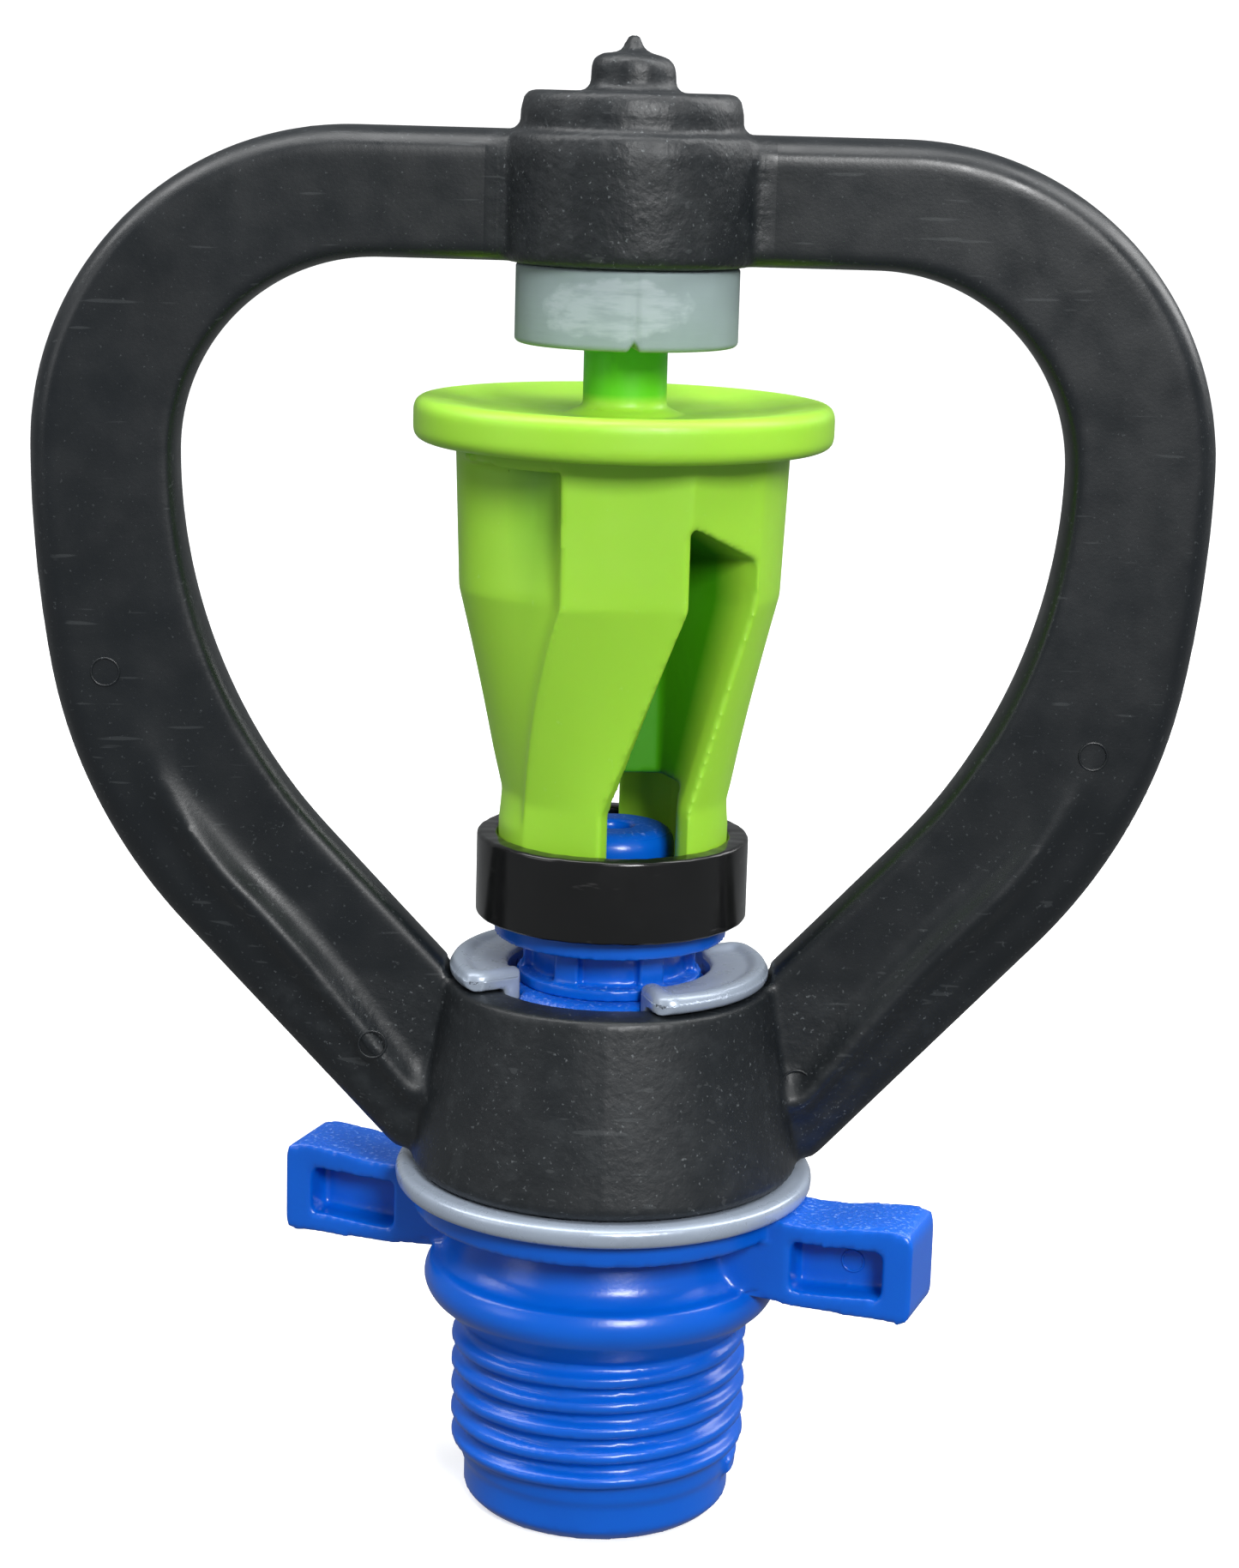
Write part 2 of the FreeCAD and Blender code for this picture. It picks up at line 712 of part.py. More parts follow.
def rim_edges(half_thickness, side_height):
    """A test for the edges of a raised face whose side wall has this height."""
    def wanted(shape, edge):
        box = edge.BoundBox
        flat = box.YLength < SAME_PLACE and abs(abs(box.Center.y) - half_thickness) < SAME_PLACE
        beyond_ends = max(abs(box.XMin), abs(box.XMax)) > value("hub_top_radius")
        if not (flat and beyond_ends):
            return False
        walls = [face.BoundBox.YLength for face in shape.ancestorsOfType(edge, Part.Face)]
        return abs(max(walls) - side_height) < SAME_WALL
    return wanted


def bridge_arms(body):
    """Two arms: a web, a thicker rail along the outer edge, and rounded rims."""
    arm, rail = arm_outlines()
    for name, walk, thickness in (("arm", arm, "web_thickness"), ("rail", rail, "rail_thickness")):
        sketch = new_sketch(body, f"{name}_outline", "XZ_Plane")
        for side in SIDES:
            outline(sketch, *walk.mirrored(side))
        extrude(body, sketch, thickness, symmetric=True)
    rail_half = value("rail_thickness / 2")
    web_half = value("web_thickness / 2")
    round_edges(body, "rail_rim", "rail_round", rim_edges(rail_half, 2 * rail_half))
    round_edges(body, "window_rim", "window_round", rim_edges(web_half, 2 * web_half))
    round_edges(body, "rail_step", "rail_step_round", rim_edges(rail_half, rail_half - web_half))


def bridge_hub(body):
    """The coned hub at the arms' feet."""
    sketch = new_sketch(body, "hub_profile", "XZ_Plane")
    points = [
        ("0", "0"),
        ("hub_bottom_radius", "0"),
        ("hub_top_radius", "hub_height"),
        ("0", "hub_height"),
    ]
    outline(sketch, points)
    revolve(body, sketch)


def bridge_boss(body):
    """The boss, stepped cap, button and moulding gate at the arms' tops."""
    boss_low = "(arm_top - arm_height)"
    boss_top = f"({boss_low} + boss_height)"
    cap_top = f"({boss_top} + cap_height)"
    button_top = f"({cap_top} + button_height)"
    sketch = new_sketch(body, "boss_profile", "XZ_Plane")
    points = [
        ("0", boss_low),
        ("boss_radius", boss_low),
        ("boss_radius", boss_top),
        ("cap_radius", boss_top),
        ("cap_radius", f"{cap_top} - cap_round"),
        ("cap_radius - cap_round", cap_top),
        ("button_radius", cap_top),
        ("button_radius", f"{button_top} - button_round"),
        ("button_radius - button_round", button_top),
        ("gate_radius", button_top),
        ("gate_radius", f"{button_top} + gate_height"),
        ("0", f"{button_top} + gate_height"),
    ]
    outline(sketch, points, {4: ("cap_round", True), 7: ("button_round", True)})
    revolve(body, sketch)


def bridge_bores(body):
    """The hub's running bore, room for the snap tabs to pass the arms, and the bush's socket."""
    boss_low = "(arm_top - arm_height)"
    hub_bore = new_sketch(body, "hub_bore", "XZ_Plane")
    box_outline(hub_bore, ("0", "-cut_margin"), (HUB_BORE, "hub_height + cut_margin"))
    revolve(body, hub_bore, kind="Groove")
    tab_room = new_sketch(body, "tab_room", "XZ_Plane")
    box_outline(tab_room, ("0", "hub_height"),
                ("tab_radius + tab_clearance", "hub_height + tab_thickness + 3 * axial_play"))
    revolve(body, tab_room, kind="Groove")
    socket = new_sketch(body, "bearing_socket", "XZ_Plane")
    box_outline(socket, ("0", f"{boss_low} - cut_margin"),
                (BEARING_SOCKET, f"{boss_low} + bearing_spigot_length + axial_play"))
    revolve(body, socket, kind="Groove")


def make_bridge():
    body = new_body("bridge", HUB_SEAT)
    bridge_arms(body)
    bridge_hub(body)
    bridge_boss(body)
    bridge_bores(body)
    return body


# ---- bearing bush ----

def make_bearing_bush():
    """The bush that carries the spinner's pin, with a spigot up into the boss."""
    body = new_body("bearing_bush", BEARING_SEAT)
    top = "(bearing_height + bearing_spigot_length)"
    sketch = new_sketch(body, "bearing_profile", "XZ_Plane")
    points = [
        (BEARING_BORE, "0"),
        ("bearing_radius - bearing_round", "0"),
        ("bearing_radius", "bearing_round"),
        ("bearing_radius", "bearing_height"),
        ("bearing_spigot_radius", "bearing_height"),
        ("bearing_spigot_radius", top),
        ("0", top),
        ("0", f"{top} - bearing_floor"),
        (BEARING_BORE, f"{top} - bearing_floor"),
    ]
    outline(sketch, points, {1: ("bearing_round", True)})
    revolve(body, sketch)
    return body


# ---- spinner ----

def rim_point(radius, angle):
    """A point in plan at an angle from the front, towards the right."""
    return f"({radius}) * sin({angle})", f"-({radius}) * cos({angle})"


def moved(point, *steps):
    """A point moved by amounts along direction angles in plan."""
    across, back = point
    for amount, direction in steps:
        across = f"{across} + ({amount}) * sin({direction})"
        back = f"{back} - ({amount}) * cos({direction})"
    return across, back


def spinner_shell(body):
    """The twisted body: on each half a panel, a window face and a round flank."""
    lower = ("lower_crease", "lower_left_edge", "lower_right_edge")
    upper = ("upper_crease", "upper_left_edge", "upper_right_edge")
    levels = [
        ("leg_bottom", "leg_radius", lower),
        ("leg_top", "leg_radius", lower),
        ("body_shoulder", "body_shoulder_radius", upper),
        ("body_top + join_overlap", "body_top_radius", upper),
    ]
    sketches = []
    for number, (height, radius, angles) in enumerate(levels):
        sketch = new_sketch(body, f"shell_{number}", "XY_Plane", height)
        turned = list(angles) + [f"{angle} + 180" for angle in angles]
        corners = [rim_point(radius, angle) for angle in turned]
        outline(sketch, corners, {2: (radius, True), 5: (radius, True)})
        sketches.append(sketch)
    loft(body, sketches, "AdditiveLoft")


def channel_corners(radius, crease, left_edge, right_edge, narrow):
    """The water channel in plan: in at the window, behind the panel, and back along the web."""
    facing = f"(({crease} + {left_edge}) / 2)"
    along = f"({facing} + 90)"
    panel_left = rim_point(radius, crease)
    panel_right = rim_point(radius, left_edge)
    mouth_left = moved(panel_right, ("channel_reach", facing))
    inner_right = moved(panel_right, ("-panel_wall", facing))
    inner_left = moved(panel_left, ("-panel_wall", facing), ("panel_wall", along))
    web_left = ("-web_heel", "-web_heel_half_thickness")
    if narrow:
        beside = [moved(corner, ("channel_tip", "90")) for corner in (web_left, inner_right, mouth_left)]
        return [mouth_left, inner_right, inner_left, web_left, *beside]
    window_right = rim_point(radius, right_edge)
    return [mouth_left, inner_right, inner_left, web_left,
            ("web_crease", "-web_half_thickness"),
            moved(window_right, ("-channel_lip", right_edge)),
            moved(window_right, ("channel_reach", right_edge))]


def spinner_channels(body):
    """Two curved water channels, each opening as a window in the body's side."""
    lower = ("lower_crease", "lower_left_edge", "lower_right_edge")
    upper = ("upper_crease", "upper_left_edge", "upper_right_edge")
    levels = [
        ("leg_bottom - cut_margin", "leg_radius", lower, False),
        ("leg_top", "leg_radius", lower, False),
        ("body_shoulder", "body_shoulder_radius", upper, False),
        ("window_low_top", "body_shoulder_radius", upper, False),
        ("window_high_top", "body_shoulder_radius", upper, True),
    ]
    sketches = []
    for number, (height, radius, angles, narrow) in enumerate(levels):
        sketch = new_sketch(body, f"channel_{number}", "XY_Plane", height)
        outline(sketch, channel_corners(radius, *angles, narrow))
        sketches.append(sketch)
    channel = loft(body, sketches, "SubtractiveLoft")
    pattern(body, [channel], 2, "channels")


def spinner_bore(body):
    """The open middle between the legs, up to the web that splits the jet."""
    sketch = new_sketch(body, "leg_bore", "XZ_Plane")
    box_outline(sketch, ("0", "leg_bottom - cut_margin"), ("leg_radius - leg_wall", "channel_floor"))
    revolve(body, sketch, kind="Groove")


def spinner_scoops(body):
    """A hollow under the disc beside each panel, deepest at the disc and fading out downwards."""
    low = "(body_top - scoop_height)"
    near = "(upper_crease - scoop_lead)"
    far = f"({near} - scoop_span)"
    top_radius = "body_top_radius"
    low_radius = "(body_shoulder_radius + scoop_tip_lift)"
    tip_near = f"({near} - scoop_tip_lead)"
    tip_far = f"({tip_near} - scoop_tip_span)"
    top = new_sketch(body, "scoop_top", "XY_Plane", "body_top")
    outline(top, [
        rim_point(f"{top_radius} + cut_margin", near),
        rim_point(f"{top_radius} - scoop_depth", near),
        rim_point(f"{top_radius} - scoop_depth / 2", far),
        rim_point(f"{top_radius} + cut_margin", far),
    ])
    bottom = new_sketch(body, "scoop_bottom", "XY_Plane", low)
    outline(bottom, [
        rim_point(f"{low_radius} + cut_margin", tip_near),
        rim_point(low_radius, tip_near),
        rim_point(low_radius, tip_far),
        rim_point(f"{low_radius} + cut_margin", tip_far),
    ])
    scoop = loft(body, [top, bottom], "SubtractiveLoft")
    pattern(body, [scoop], 2, "scoops")


def spinner_disc(body):
    """The dished disc and the pin that runs in the bearing bush."""
    top = "(body_top + disc_thickness)"
    pin_top = f"({top} + pin_length)"
    sketch = new_sketch(body, "disc_profile", "XZ_Plane")
    points = [
        ("0", "body_top"),
        ("disc_radius - disc_round", "body_top"),
        ("disc_radius", "body_top + disc_round"),
        ("disc_radius", f"{top} - disc_round"),
        ("disc_radius - disc_round", top),
        ("dish_radius", top),
        ("pin_radius", f"{top} - dish_depth"),
        ("pin_radius", f"{pin_top} - pin_chamfer"),
        ("pin_radius - pin_chamfer", pin_top),
        ("0", pin_top),
    ]
    outline(sketch, points, {1: ("disc_round", True), 3: ("disc_round", True)})
    revolve(body, sketch)


def make_spinner():
    body = new_body("spinner", RING_SEAT)
    spinner_shell(body)
    spinner_bore(body)
    spinner_channels(body)
    spinner_scoops(body)
    spinner_disc(body)
    return body


# ---- skirt ring ----

def make_skirt_ring():
    """The ring round the legs, with a lip that the legs stand on."""
    body = new_body("skirt_ring", RING_SEAT)
    sketch = new_sketch(body, "ring_profile", "XZ_Plane")
    points = [
        (RING_LIP, "0"),
        ("ring_radius - ring_round", "0"),
        ("ring_radius", "ring_round"),
        ("ring_radius", "ring_height - ring_round"),
        ("ring_radius - ring_round", "ring_height"),
        (RING_BORE, "ring_height"),
        (RING_BORE, "ring_lip_height"),
        (RING_LIP, "ring_lip_height"),
    ]
    outline(sketch, points, {1: ("ring_round", True), 3: ("ring_round", True)})
    revolve(body, sketch)
    return body


# ---- build, check and write ----

def main():
    pieces = [
        make_threaded_base(),
        make_nozzle(),
        make_nozzle_seal(),
        make_swivel_bush(),
        make_bridge(),
        make_bearing_bush(),
        make_spinner(),
        make_skirt_ring(),
    ]
    doc.recompute()
    faults = [item.Name for item in doc.Objects if {"Invalid", "Error"} & set(item.State)]
    faults += [piece.Label for piece in pieces if piece.Shape.isNull() or not piece.Shape.isValid()]
    if faults:
        raise RuntimeError(f"failed objects: {faults}")
    os.makedirs("parts", exist_ok=True)
    for piece in pieces:
        piece.Shape.exportStep(f"parts/{piece.Label}.step")
        box = piece.Shape.BoundBox
        print(f"{piece.Label}: {len(piece.Shape.Solids)} solid, {piece.Shape.Volume:.1f} mm3, "
              f"z {box.ZMin:.2f} to {box.ZMax:.2f}, width {box.XLength:.2f}")


main()
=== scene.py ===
import json
import math

import bmesh
import bpy
from mathutils import Matrix, Vector


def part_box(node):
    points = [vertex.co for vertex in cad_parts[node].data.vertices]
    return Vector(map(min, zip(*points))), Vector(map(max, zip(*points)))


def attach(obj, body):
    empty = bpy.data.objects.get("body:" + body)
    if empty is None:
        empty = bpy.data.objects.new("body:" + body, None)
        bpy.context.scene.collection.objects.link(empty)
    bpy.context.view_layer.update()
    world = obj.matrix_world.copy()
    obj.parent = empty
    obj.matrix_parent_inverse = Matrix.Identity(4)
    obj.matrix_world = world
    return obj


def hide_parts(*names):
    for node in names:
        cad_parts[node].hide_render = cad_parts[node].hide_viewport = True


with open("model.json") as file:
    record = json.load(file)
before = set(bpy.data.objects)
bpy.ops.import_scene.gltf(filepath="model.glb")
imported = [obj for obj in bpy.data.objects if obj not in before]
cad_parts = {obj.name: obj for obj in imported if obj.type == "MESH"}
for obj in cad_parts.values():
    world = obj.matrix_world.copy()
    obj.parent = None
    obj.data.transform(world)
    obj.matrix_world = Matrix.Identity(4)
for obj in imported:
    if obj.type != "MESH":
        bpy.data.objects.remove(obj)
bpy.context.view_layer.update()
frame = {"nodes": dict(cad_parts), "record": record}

MM = 0.001

# ---- camera ----

CAMERA_DISTANCE = 212.7 * MM
CAMERA_HEIGHT = 96.8 * MM
CAMERA_PITCH = 12.14
CAMERA_YAW = -0.1
CAMERA_ROLL = 1.6
LENS = 73.9


def make_camera():
    """The camera, in front of the object and a little above it, looking down."""
    data = bpy.data.cameras.new("camera")
    data.lens = LENS
    data.sensor_width = 36
    data.clip_start = 0.01
    data.clip_end = 20
    camera = bpy.data.objects.new("camera", data)
    bpy.context.scene.collection.objects.link(camera)
    camera.matrix_world = (
        Matrix.Translation((0, -CAMERA_DISTANCE, CAMERA_HEIGHT))
        @ Matrix.Rotation(math.radians(CAMERA_YAW), 4, "Z")
        @ Matrix.Rotation(math.radians(90 - CAMERA_PITCH), 4, "X")
        @ Matrix.Rotation(math.radians(CAMERA_ROLL), 4, "Z")
    )
    bpy.context.scene.camera = camera


make_camera()

# ---- studio ----

BACKDROP_FLOOR = 0.9
BACKDROP_BEND = 0.5
BACKDROP_TOP = 2.2
BEND_STEPS = 20
BACKDROP_TURNS = 72
BACKDROP_COLOUR = (0.60, 0.60, 0.60)
BACKDROP_GLOW = 0.60
WORLD_COLOUR = (0.95, 0.98, 1.0)
WORLD_STRENGTH = 0.26

OBJECT_MIDDLE = Vector((0, 0, 0.055))
WALL_MIDDLE = Vector((0, 0.95, 0.30))
LIGHTS = {
    # name: (place, size, watts, target)
    "key": ((0.15, -0.46, 0.32), 0.15, 2.9, OBJECT_MIDDLE),
    "top": ((-0.04, -0.08, 0.60), 0.34, 2.0, OBJECT_MIDDLE),
    "fill_left": ((-0.46, -0.22, 0.20), 0.20, 0.25, OBJECT_MIDDLE),
    "edge_right": ((0.42, 0.20, 0.30), 0.24, 1.0, OBJECT_MIDDLE),
    "backdrop_left": ((-0.55, 0.10, 0.75), 0.6, 7.0, WALL_MIDDLE),
    "backdrop_right": ((0.55, 0.10, 0.75), 0.6, 7.0, WALL_MIDDLE),
}


def add_light(name, place, size, watts, target):
    """One soft square light, aimed at a point."""
    data = bpy.data.lights.new(name, "AREA")
    data.energy = watts
    data.size = size
    light = bpy.data.objects.new(name, data)
    bpy.context.scene.collection.objects.link(light)
    light.location = place
    light.rotation_euler = (target - Vector(place)).to_track_quat("-Z", "Y").to_euler()


def make_backdrop():
    """A pale round floor that bends up into a wall on every side."""
    outline = []
    for step in range(BEND_STEPS + 1):
        turn = math.pi / 2 * step / BEND_STEPS
        outline.append((BACKDROP_FLOOR + BACKDROP_BEND * math.sin(turn),
                        BACKDROP_BEND * (1 - math.cos(turn))))
    outline.append((BACKDROP_FLOOR + BACKDROP_BEND, BACKDROP_TOP))
    size = len(outline)
    points, faces = [], []
    for step in range(BACKDROP_TURNS):
        angle = 2 * math.pi * step / BACKDROP_TURNS
        points += [(reach * math.cos(angle), reach * math.sin(angle), up) for reach, up in outline]
        here, there = step * size, (step + 1) % BACKDROP_TURNS * size
        faces += [(here + n, here + n + 1, there + n + 1, there + n) for n in range(size - 1)]
    faces.append(tuple(step * size for step in range(BACKDROP_TURNS)))
    mesh = bpy.data.meshes.new("backdrop")
    mesh.from_pydata(points, [], faces)
    mesh.shade_smooth()
    backdrop = bpy.data.objects.new("backdrop", mesh)
    bpy.context.scene.collection.objects.link(backdrop)
    paint = bpy.data.materials.new("backdrop_paint")
    paint.use_nodes = True
    shader = paint.node_tree.nodes["Principled BSDF"]
    shader.inputs["Base Color"].default_value = (*BACKDROP_COLOUR, 1)
    shader.inputs["Roughness"].default_value = 0.95
    shader.inputs["Specular IOR Level"].default_value = 0.1
    shader.inputs["Emission Color"].default_value = (1, 1, 1, 1)
    shader.inputs["Emission Strength"].default_value = BACKDROP_GLOW
    mesh.materials.append(paint)
    backdrop.visible_diffuse = False
    backdrop.visible_glossy = False


def make_studio():
    """Pale backdrop, even surroundings and soft lights."""
    scene = bpy.context.scene
    scene.view_settings.view_transform = "Standard"
    world = bpy.data.worlds.new("studio")
    world.use_nodes = True
    sky = world.node_tree.nodes["Background"]
    sky.inputs["Color"].default_value = (*WORLD_COLOUR, 1)
    sky.inputs["Strength"].default_value = WORLD_STRENGTH
    scene.world = world
    make_backdrop()
    for name, settings in LIGHTS.items():
        add_light(name, *settings)


make_studio()

# ---- spinner's body, used by its mesh and its material ----

CREASE_HIGH, CREASE_LOW = (64.4, -20.7), (50.5, -50.0)
BODY_PROFILE = ((50.5, 7.75), (64.4, 10.7), (74.1, 11.1))
BODY_TOP = 74.1

# ---- materials ----


class Paint:
    """A procedural material under construction, on a Principled shader."""

    def __init__(self, name):
        self.material = bpy.data.materials.new(name)
        self.material.use_nodes = True
        self.tree = self.material.node_tree
        self.shader = self.tree.nodes["Principled BSDF"]
        self.place = self.add("ShaderNodeTexCoord").outputs["Object"]

    def add(self, kind, **settings):
        node = self.tree.nodes.new(kind)
        for key, setting in settings.items():
            setattr(node, key, setting)
        return node

    def link(self, source, target):
        self.tree.links.new(source, target)

    def set(self, **values):
        """Fixed values on the shader's own sockets."""
        for key, number in values.items():
            self.shader.inputs[key.replace("_", " ")].default_value = number

    def noise(self, size_mm, detail=2.0, stretch=(1, 1, 1)):
        """Soft noise, from 0 to 1, with features of about this size."""
        mapping = self.add("ShaderNodeMapping")
        mapping.inputs["Scale"].default_value = stretch
        self.link(self.place, mapping.inputs["Vector"])
        node = self.add("ShaderNodeTexNoise")
        node.inputs["Scale"].default_value = 1 / (size_mm * MM)
        node.inputs["Detail"].default_value = detail
        self.link(mapping.outputs["Vector"], node.inputs["Vector"])
        return node.outputs["Fac"]

    def ramp(self, source, low, high, low_value=0.0, high_value=1.0):
        """A number remapped from one range to another, and kept inside it."""
        node = self.add("ShaderNodeMapRange")
        for key, number in (("From Min", low), ("From Max", high),
                            ("To Min", low_value), ("To Max", high_value)):
            node.inputs[key].default_value = number
        self.link(source, node.inputs["Value"])
        return node.outputs["Result"]

    def math(self, operation, first, second):
        """Two numbers joined by an operation; the second may be a plain number."""
        node = self.add("ShaderNodeMath", operation=operation)
        self.link(first, node.inputs[0])
        if isinstance(second, (int, float)):
            node.inputs[1].default_value = second
        else:
            self.link(second, node.inputs[1])
        return node.outputs["Value"]

    def blend(self, factor, first, second):
        """Two colours mixed by a factor; each is a colour or a node's output."""
        node = self.add("ShaderNodeMix", data_type="RGBA")
        self.link(factor, node.inputs["Factor"])
        for key, colour in (("A", first), ("B", second)):
            socket = next(s for s in node.inputs if s.name == key and s.type == "RGBA")
            if isinstance(colour, tuple):
                socket.default_value = (*colour, 1)
            else:
                self.link(colour, socket)
        return next(s for s in node.outputs if s.type == "RGBA")

    def colour(self, source):
        self.link(source, self.shader.inputs["Base Color"])

    def roughness(self, source):
        self.link(source, self.shader.inputs["Roughness"])

    def bump(self, height, depth_mm, strength=1.0, after=None):
        """Relief of this depth; after is another bump to stand on."""
        node = self.add("ShaderNodeBump")
        node.inputs["Distance"].default_value = depth_mm * MM
        node.inputs["Strength"].default_value = strength
        self.link(height, node.inputs["Height"])
        if after is not None:
            self.link(after, node.inputs["Normal"])
        self.link(node.outputs["Normal"], self.shader.inputs["Normal"])
        return node.outputs["Normal"]

    def patch(self, spot, ragged):
        """A ragged ellipse on the front, from 0 outside to 1 inside.

        spot is the middle's x and z and both half sizes, in mm.
        """
        split = self.add("ShaderNodeSeparateXYZ")
        self.link(self.place, split.inputs["Vector"])
        across, up, half_across, half_up = spot
        reach = None
        for axis, centre, half in (("X", across, half_across), ("Z", up, half_up)):
            offset = self.math("SUBTRACT", split.outputs[axis], centre * MM)
            offset = self.math("DIVIDE", offset, half * MM)
            square = self.math("MULTIPLY", offset, offset)
            reach = square if reach is None else self.math("ADD", reach, square)
        reach = self.math("ADD", reach, self.ramp(ragged, 0.3, 0.7, -0.35, 0.35))
        front = self.ramp(split.outputs["Y"], -1 * MM, 0, 1.0, 0.0)
        return self.math("MULTIPLY", self.ramp(reach, 0.75, 1.05, 1.0, 0.0), front)

    def height(self, low_mm, high_mm):
        """From 0 to 1 between two heights, or from 1 to 0 where the first is the higher."""
        split = self.add("ShaderNodeSeparateXYZ")
        self.link(self.place, split.inputs["Vector"])
        if low_mm > high_mm:
            return self.ramp(split.outputs["Z"], high_mm * MM, low_mm * MM, 1.0, 0.0)
        return self.ramp(split.outputs["Z"], low_mm * MM, high_mm * MM)

    def facing_up(self, low=0.7, high=0.95):
        """How far the surface faces up, from 0 to 1."""
        geometry = self.add("ShaderNodeNewGeometry")
        split = self.add("ShaderNodeSeparateXYZ")
        self.link(geometry.outputs["Normal"], split.inputs["Vector"])
        return self.ramp(split.outputs["Z"], low, high)


SCRAPE = (-0.9, 83.3, 4.9, 1.9)


def black_plastic():
    """Satin black moulding; the hub and cap are rougher and dustier than the arms."""
    paint = Paint("black_plastic")
    split = paint.add("ShaderNodeSeparateXYZ")
    paint.link(paint.place, split.inputs["Vector"])
    near_axis = paint.ramp(paint.math("ABSOLUTE", split.outputs["X"], 0.0), 8.6 * MM, 9.4 * MM, 1.0, 0.0)
    boss = paint.math("MULTIPLY", near_axis, paint.height(84.0, 85.0))
    coarse = paint.math("MAXIMUM", paint.height(38.2, 36.8), boss)
    mottle = paint.blend(paint.noise(9, 3), (0.0036, 0.0052, 0.0068), (0.0076, 0.0104, 0.0130))
    specks = paint.math("MULTIPLY", paint.ramp(paint.noise(0.26, 3), 0.65, 0.74, 0.0, 0.40),
                        paint.ramp(coarse, 0, 1, 0.45, 1.0))
    dusty = paint.blend(specks, mottle, (0.20, 0.22, 0.23))
    grime = paint.math("MULTIPLY", paint.ramp(paint.noise(1.3, 6), 0.50, 0.72, 0.0, 0.045), coarse)
    hazy = paint.blend(grime, dusty, (0.16, 0.18, 0.19))
    scratch = paint.ramp(paint.noise(0.45, 1, (0.10, 1, 1)), 0.70, 0.74, 0.0, 0.07)
    paint.colour(paint.blend(scratch, hazy, (0.25, 0.27, 0.28)))
    satin = paint.ramp(paint.noise(3, 4), 0.3, 0.7, 0.31, 0.46)
    paint.roughness(paint.math("ADD", satin, paint.ramp(coarse, 0, 1, 0.0, 0.10)))
    skin = paint.bump(paint.noise(0.22, 3), 0.02, 0.35)
    pits = paint.bump(paint.math("MULTIPLY", paint.noise(0.55, 5), coarse), 0.07, 0.6, after=skin)
    slumps = paint.bump(paint.math("MULTIPLY", paint.noise(1.7, 4), boss), 0.22, 0.7, after=pits)
    paint.bump(paint.noise(2.6, 2), 0.06, 0.3, after=slumps)
    paint.set(Specular_IOR_Level=0.5)
    return paint.material


PIN_SHADE_ZONE = (3.6, 77.5)


def green_plastic():
    """Translucent lime moulding, with painted shade: a deeper green painted inside its channels and on the
    pin.
    """
    paint = Paint("green_plastic")
    flow = paint.blend(paint.noise(11, 2, (1, 1, 0.35)), (0.270, 0.580, 0.024), (0.350, 0.680, 0.050))
    fleck = paint.ramp(paint.noise(0.6, 3), 0.70, 0.78, 0.0, 0.25)
    surface = paint.blend(fleck, flow, (0.42, 0.75, 0.20))
    split = paint.add("ShaderNodeSeparateXYZ")
    paint.link(paint.place, split.inputs["Vector"])
    square = paint.math("ADD", paint.math("MULTIPLY", split.outputs["X"], split.outputs["X"]),
                        paint.math("MULTIPLY", split.outputs["Y"], split.outputs["Y"]))
    radius = paint.math("SQRT", square, 0.0)
    flared = paint.math("MULTIPLY", paint.math("MINIMUM", split.outputs["Z"], CREASE_HIGH[0] * MM), 0.2)
    # Painted shade: the colour turns a deeper green where the surface lies well inside the body's outline, in
    # the channels.
    inside = paint.ramp(paint.math("SUBTRACT", radius, flared), -5.6 * MM, -3.4 * MM, 1.0, 0.0)
    inside = paint.math("MULTIPLY", inside, paint.height(BODY_TOP + 0.8, BODY_TOP))
    channel_shaded = paint.blend(inside, surface, (0.045, 0.275, 0.002))
    # Painted shade: the pin above the disc is painted a deeper, more saturated green.
    pin = paint.math("MULTIPLY", paint.ramp(radius, 2.9 * MM, PIN_SHADE_ZONE[0] * MM, 1.0, 0.0),
                     paint.height(PIN_SHADE_ZONE[1] - 0.6, PIN_SHADE_ZONE[1]))
    paint.colour(paint.blend(pin, channel_shaded, (0.095, 0.50, 0.004)))
    paint.roughness(paint.ramp(paint.noise(2.2, 4), 0.3, 0.7, 0.36, 0.50))
    skin = paint.bump(paint.noise(0.3, 3), 0.015, 0.3)
    paint.bump(paint.noise(3.5, 2), 0.06, 0.22, after=skin)
    paint.set(Subsurface_Weight=0.16, Subsurface_Radius=(0.35, 1.0, 0.08), Subsurface_Scale=1.2 * MM)
    return paint.material


def blue_plastic():
    """Strong blue moulding, smooth on its walls and grainy on faces that look up, where lighter specks are
    painted glints.
    """
    paint = Paint("blue_plastic")
    tone = paint.blend(paint.noise(8, 2), (0.0, 0.086, 0.50), (0.0, 0.120, 0.66))
    up = paint.math("MULTIPLY", paint.facing_up(), paint.height(20.5, 21.5))
    grain = paint.noise(0.30, 5)
    # Painted highlight: lighter glinting specks on the grain of faces that look up.
    painted_glint = paint.math("MULTIPLY", paint.ramp(grain, 0.56, 0.70, 0.0, 0.55), up)
    paint.colour(paint.blend(painted_glint, tone, (0.25, 0.42, 0.90)))
    paint.roughness(paint.ramp(up, 0, 1, 0.27, 0.5))
    rough_top = paint.math("MULTIPLY", grain, paint.ramp(up, 0, 1, 0.12, 1.0))
    paint.bump(rough_top, 0.16, 0.55)
    paint.set(Subsurface_Weight=0.06, Subsurface_Radius=(0.05, 0.15, 1.0), Subsurface_Scale=0.8 * MM)
    return paint.material


